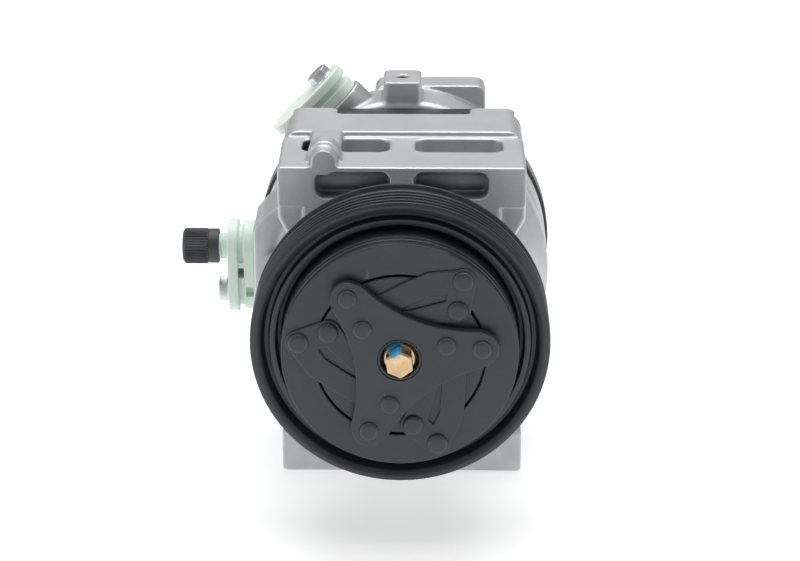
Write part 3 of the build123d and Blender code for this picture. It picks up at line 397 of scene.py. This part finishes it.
@dataclass(frozen=True)
class MouldedPlastic:
    """Injection-moulded plastic with a fine spark-eroded grain and faint flow clouds."""

    name: str
    colour: Colour
    shade: Colour
    roughness: float = 0.42
    glow: float = 0.0

    def material(self) -> bpy.types.Material:
        """Build the node graph."""
        graph = Graph(self.name)
        flow = graph.noise(90.0, 4.0, 0.6).ramp(0.3, 0.75)
        dust = graph.noise(1900.0, 2.0).ramp(0.60, 0.80)
        tone = graph.mix(flow * 0.55, self.colour, self.shade)
        tone = graph.mix(dust * 0.12, tone, (0.62, 0.62, 0.60))
        graph.feed("Base Color", tone)
        graph.feed("Roughness", self.roughness + flow * 0.08 + dust * 0.10)
        graph.shader.inputs["Subsurface Weight"].default_value = self.glow
        graph.shader.inputs["Subsurface Scale"].default_value = 0.002
        graph.relief(graph.noise(1500.0, 3.0) + dust * 0.3, 0.16, 0.0001)
        return graph.material


@dataclass(frozen=True)
class MouldedRubber:
    """Matt black rubber with bloom."""

    name: str = "rubber"
    colour: Colour = (0.022, 0.022, 0.023)

    def material(self) -> bpy.types.Material:
        """Build the node graph."""
        graph = Graph(self.name)
        bloom = graph.noise(160.0, 4.0, 0.6).ramp(0.4, 0.8)
        graph.feed("Base Color", graph.mix(bloom * 0.5, self.colour, (0.075, 0.075, 0.075)))
        graph.feed("Roughness", 0.62 + bloom * 0.2)
        graph.relief(graph.noise(2200.0, 2.0), 0.2, 0.0001)
        return graph.material


@dataclass(frozen=True)
class StudioPaper:
    """Seamless pale backdrop paper."""

    name: str = "studio_paper"
    glow: float = 0.42

    def material(self) -> bpy.types.Material:
        """Build the node graph."""
        graph = Graph(self.name)
        fibre = graph.noise(40.0, 4.0)
        graph.feed("Base Color", graph.mix(fibre * 0.2, (0.93, 0.93, 0.93), (0.88, 0.88, 0.885)))
        graph.feed("Roughness", 0.9)
        graph.feed("Emission Color", (1.0, 1.0, 1.0))
        graph.feed("Emission Strength", self.glow)
        return graph.material


class Finish(Enum):
    """The record's material slots, each with the finish that dresses it."""

    cast_aluminium = CastMetal()
    machined_aluminium = TurnedMetal("machined_aluminium", (0.76, 0.77, 0.79), 0.25)
    black_anodised = BlackCoat(
        "black_anodised", (0.022, 0.022, 0.024), (0.12, 0.12, 0.125), 0.42, ring_pitch=0.35
    )
    black_ecoat = BlackCoat("black_ecoat")
    black_steel = BlackCoat("black_steel", (0.026, 0.033, 0.038), (0.22, 0.24, 0.25), 0.36)
    ground_steel = TurnedMetal("ground_steel", (0.58, 0.59, 0.61), 0.20, 0.18)
    spring_steel = TurnedMetal("spring_steel", (0.34, 0.35, 0.37), 0.32, 0.4)
    zinc_steel = PlatedSteel("zinc_steel")
    yellow_zinc = MarkedBolt()
    coil_steel = PlatedSteel("coil_steel", (0.42, 0.43, 0.45), (0.34, 0.35, 0.36), 0.42)
    coil_resin = MouldedPlastic("coil_resin", (0.07, 0.05, 0.035), (0.04, 0.03, 0.025), 0.22)
    rubber = MouldedRubber()
    mint_plastic = MouldedPlastic(
        "mint_plastic", (0.80, 0.92, 0.83), (0.70, 0.86, 0.75), 0.40, glow=0.2
    )
    black_plastic = MouldedPlastic(
        "black_plastic", (0.050, 0.054, 0.058), (0.035, 0.038, 0.041), 0.46
    )
    brass = TurnedMetal("brass", (0.80, 0.60, 0.28), 0.24, 0.3)


class Paints:
    """Makes each finish's material once and hands it out."""

    def __init__(self) -> None:
        """Start with no material made."""
        self._made: dict[str, bpy.types.Material] = {}

    def of(self, finish: Finish) -> bpy.types.Material:
        """The material of a finish."""
        if finish.name not in self._made:
            self._made[finish.name] = finish.value.material()
        return self._made[finish.name]

    def dress(self, piece: bpy.types.Object, finish: Finish) -> None:
        """Give a whole piece one finish."""
        piece.data.materials.clear()
        piece.data.materials.append(self.of(finish))


# ---- bench: modelling as by hand -----------------------------------------------------------------


class Bench:
    """Operators on one active object at a time."""

    def __init__(self, paints: Paints) -> None:
        """Keep the paints that finished pieces are dressed with."""
        self.paints = paints

    @staticmethod
    def clear() -> None:
        """Leave edit mode and select nothing."""
        if bpy.context.mode != "OBJECT":
            bpy.ops.object.mode_set(mode="OBJECT")
        bpy.ops.object.select_all(action="DESELECT")

    def take(self, piece: bpy.types.Object) -> None:
        """Make a piece the only selected and active one."""
        self.clear()
        piece.select_set(True)
        bpy.context.view_layer.objects.active = piece

    def named(self, name: str) -> bpy.types.Object:
        """Name the object that was just added."""
        piece = bpy.context.view_layer.objects.active
        piece.name = name
        piece.data.name = name
        return piece

    def copy_node(self, node: str, name: str) -> bpy.types.Object:
        """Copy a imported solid's mesh into a new object, its loose triangles merged.

        Args:
            node: The solid's name.
            name: The new object's name.

        Returns:
            The copy, at the origin.
        """
        self.clear()
        source = frame["nodes"][node]
        piece = bpy.data.objects.new(name, source.data.copy())
        piece.data.name = name
        bpy.context.scene.collection.objects.link(piece)
        if piece.data.has_custom_normals:
            self.take(piece)
            bpy.ops.mesh.customdata_custom_splitnormals_clear()
        self.edit(piece)
        bpy.ops.mesh.remove_doubles(threshold=0.02 * MM)
        bpy.ops.object.mode_set(mode="OBJECT")
        return piece

    def edit(self, piece: bpy.types.Object) -> None:
        """Open a piece in edit mode with everything selected."""
        self.take(piece)
        bpy.ops.object.mode_set(mode="EDIT")
        bpy.ops.mesh.select_all(action="SELECT")

    def modify(self, piece: bpy.types.Object, kind: str, **settings: Any) -> None:
        """Add a modifier, set it and apply it."""
        self.take(piece)
        modifier = piece.modifiers.new(kind.lower(), kind)
        for key, value in settings.items():
            setattr(modifier, key, value)
        bpy.ops.object.modifier_apply(modifier=modifier.name)

    def round_edges(
        self, piece: bpy.types.Object, width: float, segments: int = 3, angle: float = 32.0
    ) -> None:
        """Round the edges that are sharper than an angle.

        Args:
            piece: The object.
            width: Width of the rounding in millimetres.
            segments: Faces across the rounding.
            angle: Least angle between faces, in degrees.
        """
        self.modify(
            piece,
            "BEVEL",
            width=width * MM,
            segments=segments,
            limit_method="ANGLE",
            angle_limit=math.radians(angle),
            use_clamp_overlap=True,
            miter_outer="MITER_ARC",
        )

    def flatten(self, piece: bpy.types.Object, angle: float = 1.0) -> None:
        """Join the triangles of each flat face, so that edges can be rounded cleanly."""
        self.edit(piece)
        bpy.ops.mesh.dissolve_limited(angle_limit=math.radians(angle))
        bpy.ops.object.mode_set(mode="OBJECT")

    def soften(self, piece: bpy.types.Object, voxel: float, passes: int, most: int) -> None:
        """Turn a sharp solid into a soft one, like a casting or a moulding.

        Args:
            piece: The object.
            voxel: Size of the remesh, in millimetres.
            passes: Rounds of smoothing.
            most: Largest number of triangles that stay.
        """
        self.modify(piece, "REMESH", mode="VOXEL", voxel_size=voxel * MM, adaptivity=0.0)
        self.modify(piece, "SMOOTH", factor=0.5, iterations=passes)
        triangles = 2 * len(piece.data.polygons)
        if triangles > most:
            self.modify(piece, "DECIMATE", decimate_type="COLLAPSE", ratio=most / triangles)

    def outward(self, piece: bpy.types.Object) -> None:
        """Merge doubles, drop what has no area and point every face outwards."""
        self.edit(piece)
        bpy.ops.mesh.remove_doubles(threshold=0.002 * MM)
        bpy.ops.mesh.dissolve_degenerate(threshold=0.001 * MM)
        bpy.ops.mesh.normals_make_consistent(inside=False)
        bpy.ops.object.mode_set(mode="OBJECT")

    def smooth(self, piece: bpy.types.Object, angle: float = 35.0) -> None:
        """Shade smooth, except over edges sharper than an angle."""
        self.take(piece)
        bpy.ops.object.shade_smooth_by_angle(angle=math.radians(angle))

    def settle(self, piece: bpy.types.Object) -> None:
        """Apply a piece's place to its mesh, so that it sits at the origin."""
        self.take(piece)
        bpy.ops.object.transform_apply(location=True, rotation=True, scale=True)

    def turn(
        self,
        name: str,
        profile: Sequence[Point],
        origin: Vector,
        axis: Vector,
        steps: int = 96,
    ) -> bpy.types.Object:
        """Turn a closed profile about an axis, as on a lathe.

        Args:
            name: The new object's name.
            profile: Closed loop of (height along the axis, radius) in millimetres.
            origin: Point on the axis where the height is zero.
            axis: Direction of the axis.
            steps: Divisions round the axis.

        Returns:
            The turned piece, normals outwards.
        """
        self.clear()
        bpy.ops.mesh.primitive_circle_add(vertices=len(profile), radius=MM, fill_type="NOTHING")
        piece = self.named(name)
        axis = axis.normalized()
        side = axis.orthogonal().normalized()
        for vertex, (height, radius) in zip(piece.data.vertices, profile):
            vertex.co = origin + axis * (height * MM) + side * (radius * MM)
        self.edit(piece)
        bpy.ops.mesh.spin(
            steps=steps,
            angle=2 * math.pi,
            center=tuple(origin),
            axis=tuple(axis),
            use_auto_merge=True,
        )
        bpy.ops.object.mode_set(mode="OBJECT")
        self.outward(piece)
        return piece

    def prism(
        self,
        name: str,
        sides: int,
        across: float,
        height: float,
        origin: Vector,
        axis: Vector,
        twist: float = 0.0,
    ) -> bpy.types.Object:
        """A bolt head or a nut: a regular prism with a chamfered crown.

        Args:
            name: The new object's name.
            sides: How many flats.
            across: Width across the flats in millimetres.
            height: Height in millimetres.
            origin: Middle of its foot.
            axis: Direction that it stands in.
            twist: Turn about its axis in degrees.

        Returns:
            The prism.
        """
        radius = across / 2 / math.cos(math.pi / sides)
        axis = axis.normalized()
        spin = Matrix.Rotation(math.radians(twist), 3, "Z").to_quaternion()
        turn = axis.to_track_quat("Z", "Y") @ spin
        self.clear()
        bpy.ops.mesh.primitive_cylinder_add(
            vertices=sides,
            radius=radius * MM,
            depth=height * MM,
            location=origin + axis * (height / 2 * MM),
            rotation=turn.to_euler(),
        )
        piece = self.named(name)
        self.settle(piece)
        self.pick_faces(piece, lambda face: face.normal.dot(axis) > 0.9)
        bpy.ops.mesh.inset(thickness=radius * 0.11 * MM)
        bpy.ops.transform.translate(value=axis * (radius * 0.06 * MM))
        bpy.ops.mesh.inset(thickness=radius * 0.25 * MM)
        bpy.ops.transform.translate(value=-axis * (radius * 0.05 * MM))
        bpy.ops.object.mode_set(mode="OBJECT")
        return piece

    def pick_faces(
        self, piece: bpy.types.Object, wanted: Callable[[bpy.types.MeshPolygon], bool]
    ) -> None:
        """Open a piece in edit mode with only the wanted faces selected.

        Args:
            piece: The object.
            wanted: Says whether a face is to be selected.
        """
        self.take(piece)
        bpy.ops.object.mode_set(mode="EDIT")
        bpy.ops.mesh.select_mode(type="FACE")
        bpy.ops.mesh.select_all(action="DESELECT")
        bpy.ops.object.mode_set(mode="OBJECT")
        for face in piece.data.polygons:
            face.select = wanted(face)
        bpy.ops.object.mode_set(mode="EDIT")

    def join(self, name: str, parts: Sequence[bpy.types.Object]) -> bpy.types.Object:
        """Join several objects into the first one."""
        self.clear()
        for part in parts:
            part.select_set(True)
        bpy.context.view_layer.objects.active = parts[0]
        bpy.ops.object.join()
        return self.named(name)

    def hand_over(
        self,
        piece: bpy.types.Object,
        body: str,
        finish: Finish,
        *nodes: str,
        angle: float = 35.0,
    ) -> bpy.types.Object:
        """Dress a finished piece and tie it to its body.

        Args:
            piece: The finished object.
            body: The body that it moves with.
            finish: Its finish, which also names its material slot.
            nodes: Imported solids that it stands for.
            angle: Sharpest edge that is shaded smooth, in degrees.

        Returns:
            The piece.
        """
        self.smooth(piece, angle)
        self.paints.dress(piece, finish)
        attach(piece, body)
        if nodes:
            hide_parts(*nodes)
        LOG.info("%s: %d faces on %s", piece.name, len(piece.data.polygons), body)
        return piece


# ---- sub-assemblies ------------------------------------------------------------------------------


@dataclass
class Castings:
    """Front and rear housings with the soft edges of a die casting."""

    bench: Bench
    voxel: float = 0.7
    passes: int = 4
    most: int = 190_000

    def build(self) -> None:
        """Build both housings."""
        for node in ("front_housing", "rear_housing"):
            piece = self.bench.copy_node(node, f"{node}_casting")
            self.bench.soften(piece, self.voxel, self.passes, self.most)
            self.bench.hand_over(piece, "housing", Finish.cast_aluminium, node, angle=60)


@dataclass
class RoundedSolids:
    """Plain solids that only need their edges rounded and a finish."""

    bench: Bench
    rows: tuple[tuple[str, str, Finish, float], ...] = (
        ("fixed_scroll", "housing", Finish.black_anodised, 0.4),
        ("coil_shell", "housing", Finish.coil_steel, 0.3),
        ("coil_gland", "housing", Finish.rubber, 0.3),
        ("hub_sleeve", "shaft", Finish.black_ecoat, 0.3),
    )

    def build(self) -> None:
        """Build each rounded solid."""
        for node, body, finish, width in self.rows:
            piece = self.bench.copy_node(node, f"{node}_rounded")
            self.bench.flatten(piece)
            self.bench.round_edges(piece, width)
            self.bench.hand_over(piece, body, finish, node, angle=40)


@dataclass
class CoatedPlates:
    """Stamped clutch plates and springs whose edges the thick coat has rounded."""

    bench: Bench
    voxel: float = 0.3
    rows: tuple[tuple[str, str, int, int], ...] = (
        ("armature_ring", "armature", 4, 60_000),
        ("armature_disc", "armature", 3, 50_000),
        ("hub_plate", "shaft", 6, 60_000),
        ("leaf_spring_1", "armature", 2, 30_000),
        ("leaf_spring_2", "armature", 2, 30_000),
        ("leaf_spring_3", "armature", 2, 30_000),
    )

    def build(self) -> None:
        """Build each plate."""
        for node, body, passes, most in self.rows:
            piece = self.bench.copy_node(node, f"{node}_coated")
            self.bench.soften(piece, self.voxel, passes, most)
            self.bench.hand_over(piece, body, Finish.black_ecoat, node, angle=60)


@dataclass
class DrivePulley:
    """Belt pulley turned from one profile: friction pole, valley and ribbed rim."""

    bench: Bench
    rim_r: float = 62.5
    pole_r: float = 49.0
    width: float = 24.0
    grooves: int = 4
    pitch: float = 3.56
    first_groove: float = 1.7
    groove_depth: float = 2.9
    recess_depth: float = 1.9
    face: float = -7.5
    web_front: float = -1.0
    web_back: float = 13.0
    rim_inner_r: float = 57.5
    coil_outer_r: float = 44.2
    coil_inner_r: float = 31.2
    hub_r: float = 22.0

    def rim(self) -> list[Point]:
        """Outer profile from the front lip over the belt grooves to the back edge."""
        points: list[Point] = [(-0.6, 60.2), (-0.45, 61.3), (-0.15, 62.1)]
        for groove in range(self.grooves):
            middle = self.first_groove + groove * self.pitch
            floor = self.rim_r - self.groove_depth
            points += [
                (middle - 1.45, self.rim_r - 0.12),
                (middle - 1.25, self.rim_r - 0.45),
                (middle - 0.32, floor + 0.1),
                (middle, floor),
                (middle + 0.32, floor + 0.1),
                (middle + 1.25, self.rim_r - 0.45),
                (middle + 1.45, self.rim_r - 0.12),
            ]
            points.append((middle + self.pitch / 2, self.rim_r))
        floor = self.rim_r - self.recess_depth
        points += [(15.0, self.rim_r), (15.6, floor), (21.4, floor), (22.0, self.rim_r)]
        points += [(self.width - 0.7, self.rim_r), (self.width, self.rim_r - 0.7)]
        return points

    def profile(self) -> list[Point]:
        """The whole closed profile as depth and radius."""
        return [
            (self.face, self.hub_r),
            (self.face, self.pole_r - 0.5),
            (self.face + 0.5, self.pole_r),
            (-4.4, self.pole_r),
            (-4.1, self.pole_r - 0.45),
            (-3.5, self.pole_r - 0.45),
            (-3.2, self.pole_r),
            (8.2, self.pole_r),
            (9.0, self.pole_r + 0.8),
            (9.0, 51.4),
            (2.0, 51.8),
            (2.0, 54.2),
            (6.0, 54.8),
            (6.0, 56.6),
            (0.9, 57.5),
            (0.4, 57.8),
            (-0.2, 59.0),
            *self.rim(),
            (self.width, self.rim_inner_r),
            (self.web_back, self.rim_inner_r),
            (self.web_back, self.pole_r),
            (self.width, self.pole_r),
            (self.width, self.coil_outer_r),
            (self.web_front, self.coil_outer_r),
            (self.web_front, self.coil_inner_r),
            (22.6, self.coil_inner_r),
            (22.6, 28.5),
            (21.8, 28.5),
            (20.6, 28.5),
            (20.6, 27.5),
            (3.5, 27.5),
            (3.5, 25.5),
            (self.web_front, 25.5),
            (self.web_front, self.hub_r),
        ]

    def build(self) -> None:
        """Turn the pulley and round its edges."""
        piece = self.bench.turn("pulley_turned", self.profile(), place(0), REARWARD, 180)
        self.bench.round_edges(piece, 0.35, 2, 25)
        self.bench.outward(piece)
        self.bench.hand_over(piece, "pulley", Finish.black_ecoat, "pulley", angle=30)


@dataclass
class ClutchRivets:
    """Domed rivets of the armature springs and of the hub plate."""

    bench: Bench
    ring: Point = (41.8, 52.0)
    disc: Point = (31.0, 40.4)
    tip: Point = (34.0, 8.3)
    inner: Point = (20.2, 18.3)
    arms: int = 3
    shank: float = 2.4
    spring_face: float = -13.0
    plate_face: float = -17.0

    @staticmethod
    def head(radius: float, height: float, shank: float, tail: float) -> list[Point]:
        """Profile of a rivet with a low, rounded head.

        Args:
            radius: Radius of the head in millimetres.
            height: Height of the head.
            shank: Radius of the shank.
            tail: How far the shank goes below the head.

        Returns:
            Closed profile of height and radius.
        """
        crown = [
            (height * 0.5, radius),
            (height * 0.72, radius * 0.97),
            (height * 0.88, radius * 0.86),
            (height * 0.97, radius * 0.6),
        ]
        return [(-tail, 0.0), (-tail, shank), (0.0, shank), (0.0, radius), *crown, (height, 0.0)]

    def group(
        self, name: str, body: str, node: str, base: float, rows: Sequence[Point], head: list[Point]
    ) -> None:
        """Build one group of rivets.

        Args:
            name: Name of the joined piece.
            body: Body that it rides on.
            node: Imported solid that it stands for.
            base: Depth of the face that the heads sit on.
            rows: Radius and angle of the first rivet of each ring.
            head: Profile of one rivet.
        """
        rivets = []
        for radius, angle in rows:
            for arm in range(self.arms):
                x, z = polar(radius, angle + 360 / self.arms * arm)
                label = f"{name}_{len(rivets)}"
                rivets.append(self.bench.turn(label, head, place(base, x, z), FORWARD, 32))
        piece = self.bench.join(name, rivets)
        self.bench.hand_over(piece, body, Finish.black_steel, node, angle=50)

    def build(self) -> None:
        """Build the armature's and the hub's rivets."""
        armature = self.head(radius=4.2, height=1.8, shank=self.shank, tail=4.7)
        hub = self.head(radius=3.8, height=1.6, shank=self.shank, tail=4.9)
        self.group(
            "rivets_armature",
            "armature",
            "armature_rivets",
            self.spring_face,
            (self.ring, self.disc),
            armature,
        )
        self.group(
            "rivets_hub", "shaft", "hub_rivets", self.plate_face, (self.tip, self.inner), hub
        )


@dataclass(frozen=True)
class BoltSizes:
    """Sizes of a flanged hex bolt, in millimetres and degrees."""

    flange_r: float
    flange_height: float
    across: float
    head: float
    shank: float
    twist: float
    shank_r: float = 3.0
    thread_pitch: float = 1.0


@dataclass
class FlangeBolts:
    """The clutch's centre bolt and the bolts of the two port covers."""

    bench: Bench
    centre: BoltSizes = BoltSizes(7.4, 3.0, 10.5, 8.35, 16.0, 6.0)
    cover: BoltSizes = BoltSizes(6.0, 1.2, 10.0, 3.9, 20.0, 12.0)
    seat_depth: float = -12.0
    cover_thick: float = 12.0
    port_span: float = 20.5
    discharge_depth: float = 155.0
    discharge_face: float = 63.3
    discharge_shift: float = 1.1

    def profile(self, size: BoltSizes) -> list[Point]:
        """Profile of a bolt's threaded shank and flange.

        Args:
            size: The bolt's sizes.

        Returns:
            Closed profile of height and radius.
        """
        crests = []
        height = -size.thread_pitch
        while height > -size.shank:
            crests += [(height, size.shank_r), (height - 0.5, size.shank_r * 0.88)]
            height -= size.thread_pitch
        return [
            (-size.shank, 0.0),
            *reversed(crests),
            (0.0, size.shank_r),
            (0.0, size.flange_r),
            (size.flange_height * 0.45, size.flange_r),
            (size.flange_height * 0.8, size.flange_r * 0.93),
            (size.flange_height, size.flange_r * 0.84),
            (size.flange_height + 0.2, 0.0),
        ]

    def bolt(
        self,
        name: str,
        body: str,
        node: str,
        finish: Finish,
        origin: Vector,
        axis: Vector,
        size: BoltSizes,
    ) -> None:
        """Build one bolt's flange, threaded shank and head as one piece.

        Args:
            name: The piece's name.
            body: The body that it moves with.
            node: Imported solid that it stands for.
            finish: Its plating.
            origin: Middle of the flange's seat.
            axis: Direction that the head faces.
            size: Its sizes.
        """
        collar = self.bench.turn(f"{name}_collar", self.profile(size), origin, axis, 64)
        foot = origin + axis.normalized() * (size.flange_height * 0.5 * MM)
        head = self.bench.prism(f"{name}_head", 6, size.across, size.head, foot, axis, size.twist)
        self.bench.round_edges(head, size.across * 0.028, 3, 20)
        piece = self.bench.join(name, [collar, head])
        self.bench.hand_over(piece, body, finish, node, angle=38)

    def build(self) -> None:
        """Build the three bolts."""
        self.bolt(
            "centre_bolt_plated",
            "shaft",
            "centre_bolt",
            Finish.yellow_zinc,
            place(self.seat_depth),
            FORWARD,
            self.centre,
        )
        depth, side, height = SUCTION_PORT
        reach = math.sqrt(0.5)
        out = self.discharge_face + self.cover_thick
        along = self.discharge_shift + self.port_span
        for port, origin, axis in (
            ("suction", place(depth, side - self.cover_thick, height - self.port_span), LEFTWARD),
            (
                "discharge",
                place(self.discharge_depth, reach * (along - out), reach * (along + out)),
                Vector((-1, 0, 1)),
            ),
        ):
            self.bolt(
                f"{port}_bolt_plated",
                f"{port}_cap",
                f"{port}_cover_bolt",
                Finish.zinc_steel,
                origin,
                axis,
                self.cover,
            )


@dataclass
class PortCovers:
    """Moulded shipping covers, softened like thick-walled mouldings."""

    bench: Bench
    voxel: float = 0.3
    passes: int = 6
    most: int = 110_000

    def build(self) -> None:
        """Build both covers."""
        for node, body in (("suction_cover", "suction_cap"), ("discharge_cover", "discharge_cap")):
            piece = self.bench.copy_node(node, f"{node}_moulded")
            self.bench.soften(piece, self.voxel, self.passes, self.most)
            self.bench.hand_over(piece, body, Finish.mint_plastic, node, angle=60)


@dataclass
class NeckThread:
    """Thread of the charging valve's neck."""

    bench: Bench
    start: float = 11.6
    end: float = 21.8
    pitch: float = 1.1
    root_r: float = 5.0
    crest_r: float = 5.75
    core_r: float = 4.4
    steps: int = 72

    def build(self) -> None:
        """Turn a sleeve with the thread's ridges and set it over the neck."""
        profile: list[Point] = [(self.start, self.core_r), (self.start, self.root_r)]
        height = self.start + 0.4
        while height < self.end - self.pitch:
            profile += [
                (height, self.root_r),
                (height + self.pitch * 0.35, self.crest_r),
                (height + self.pitch * 0.6, self.crest_r),
                (height + self.pitch * 0.95, self.root_r),
            ]
            height += self.pitch
        profile += [(self.end, self.root_r), (self.end, self.core_r)]
        piece = self.bench.turn(
            "neck_thread", profile, place(*SUCTION_PORT), LEFTWARD, self.steps
        )
        self.bench.hand_over(piece, "suction_cap", Finish.mint_plastic, angle=30)


@dataclass
class ValveCap:
    """Knurled screw cap of the charging valve."""

    bench: Bench
    foot: float = 16.2
    collar: float = 4.6
    step: float = 0.2
    top: float = 32.3
    radius: float = 8.0
    ridges: int = 40
    ridge: float = 0.45
    bore_r: float = 5.7
    bore_top: float = 23.6

    def build(self) -> None:
        """Build the knurled grip, the collar and the bore."""
        origin = place(*SUCTION_PORT)
        start = self.foot + self.collar + self.step
        collar = self.bench.turn(
            "cap_collar",
            [
                (self.foot, self.bore_r),
                (self.foot, self.radius - 0.7),
                (self.foot + 0.4, self.radius - 0.3),
                (self.foot + self.collar - 0.3, self.radius - 0.3),
                (self.foot + self.collar, self.radius - 0.6),
                (start, self.radius - 0.6),
                (start, self.bore_r),
            ],
            origin,
            LEFTWARD,
        )
        grip = self.bench.turn(
            "cap_grip",
            [
                (start, self.bore_r),
                (start, self.radius - 0.5),
                (start + 0.5, self.radius),
                (self.top - 1.3, self.radius),
                (self.top - 0.45, self.radius - 0.7),
                (self.top, self.radius - 1.5),
                (self.top, 3.2),
                (self.top - 0.5, 2.9),
                (self.top - 0.5, 0.0),
                (self.bore_top, 0.0),
                (self.bore_top, self.bore_r),
            ],
            origin,
            LEFTWARD,
            self.ridges * 4,
        )
        self.knurl(grip, origin, start)
        piece = self.bench.join("valve_cap_knurled", [collar, grip])
        self.bench.hand_over(piece, "valve_cap", Finish.black_plastic, "valve_cap", angle=28)

    def knurl(self, grip: bpy.types.Object, origin: Vector, start: float) -> None:
        """Press the valleys of the knurling into the grip.

        Args:
            grip: The turned grip.
            origin: Point on its axis.
            start: Height where the knurling starts.
        """
        for vertex in grip.data.vertices:
            arm = vertex.co - origin
            arm.x = 0.0
            height = (origin.x - vertex.co.x) / MM
            if arm.length < (self.radius - 0.75) * MM or height < start + 0.2:
                continue
            phase = math.atan2(arm.z, arm.y) * self.ridges
            press = self.ridge * (0.5 - 0.5 * math.cos(phase)) * MM
            vertex.co -= arm.normalized() * press


@dataclass
class Studio:
    """Camera, lights and floor."""

    distance: float = 1000.0
    elevation: float = 22.576
    azimuth: float = 0.75
    pitch: float = 21.058
    lens: float = 108.66
    sensor: float = 36.0
    near: float = 0.05
    floor_z: float = -9.8
    floor_size: float = 12.0
    ambient: float = 0.22
    lamps: tuple[tuple[str, tuple[float, float, float], float, float], ...] = (
        ("overhead", (0.0, 0.35, 1.3), 1.4, 19.0),
        ("left", (-1.3, -0.3, 0.6), 0.8, 4.0),
        ("right", (1.3, -0.2, 0.6), 0.8, 3.0),
    )

    def camera(self) -> None:
        """Place the camera."""
        up = math.radians(self.elevation)
        round_ = math.radians(self.azimuth)
        rim = place(0)
        level = math.cos(up)
        away = Vector((math.sin(round_) * level, -math.cos(round_) * level, math.sin(up)))
        data = bpy.data.cameras.new("camera")
        data.lens = self.lens
        data.sensor_width = self.sensor
        data.clip_start = self.near
        camera = bpy.data.objects.new("camera", data)
        camera.location = rim + away * self.distance * MM
        camera.rotation_euler = (math.radians(90 - self.pitch), 0.0, round_)
        bpy.context.scene.collection.objects.link(camera)
        bpy.context.scene.camera = camera

    @staticmethod
    def lamp(name: str, location: Vector, target: Vector, size: float, power: float) -> None:
        """Place one soft square light.

        Args:
            name: The lamp's name.
            location: Where it is.
            target: What it points at.
            size: Side of the square in metres.
            power: Watts.
        """
        data = bpy.data.lights.new(name, "AREA")
        data.shape = "SQUARE"
        data.size = size
        data.energy = power
        lamp = bpy.data.objects.new(name, data)
        lamp.location = location
        lamp.rotation_euler = (target - location).to_track_quat("-Z", "Y").to_euler()
        bpy.context.scene.collection.objects.link(lamp)

    def build(self, bench: Bench) -> None:
        """Set up the floor, the surroundings, the lamps and the camera."""
        bench.clear()
        bpy.ops.mesh.primitive_plane_add(
            size=self.floor_size, location=(0.0, 0.0, self.floor_z * MM)
        )
        floor = bench.named("studio_floor")
        bench.settle(floor)
        floor.data.materials.append(StudioPaper().material())
        world = bpy.data.worlds.new("studio")
        world.use_nodes = True
        background = world.node_tree.nodes["Background"]
        background.inputs["Color"].default_value = (1.0, 1.0, 1.0, 1.0)
        background.inputs["Strength"].default_value = self.ambient
        bpy.context.scene.world = world
        bpy.context.scene.view_settings.view_transform = "Standard"
        middle = place(60)
        for name, offset, size, power in self.lamps:
            self.lamp(name, middle + Vector(offset), middle, size, power)
        self.camera()


def dress_nodes(paints: Paints) -> None:
    """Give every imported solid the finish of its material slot."""
    for row in frame["record"]["subparts"]:
        node = frame["nodes"][row["node"]]
        if node.hide_render:
            continue
        paints.dress(node, Finish[row["material_slot"]])
        LOG.info("%s: %s", row["node"], row["material_slot"])


def main() -> None:
    """Build everything in order."""
    logging.basicConfig(level=logging.INFO, format="%(name)s %(message)s")
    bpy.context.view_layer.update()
    paints = Paints()
    bench = Bench(paints)
    Castings(bench).build()
    RoundedSolids(bench).build()
    CoatedPlates(bench).build()
    DrivePulley(bench).build()
    ClutchRivets(bench).build()
    PortCovers(bench).build()
    NeckThread(bench).build()
    ValveCap(bench).build()
    FlangeBolts(bench).build()
    dress_nodes(paints)
    Studio().build(bench)


if __name__ == "__main__":
    main()
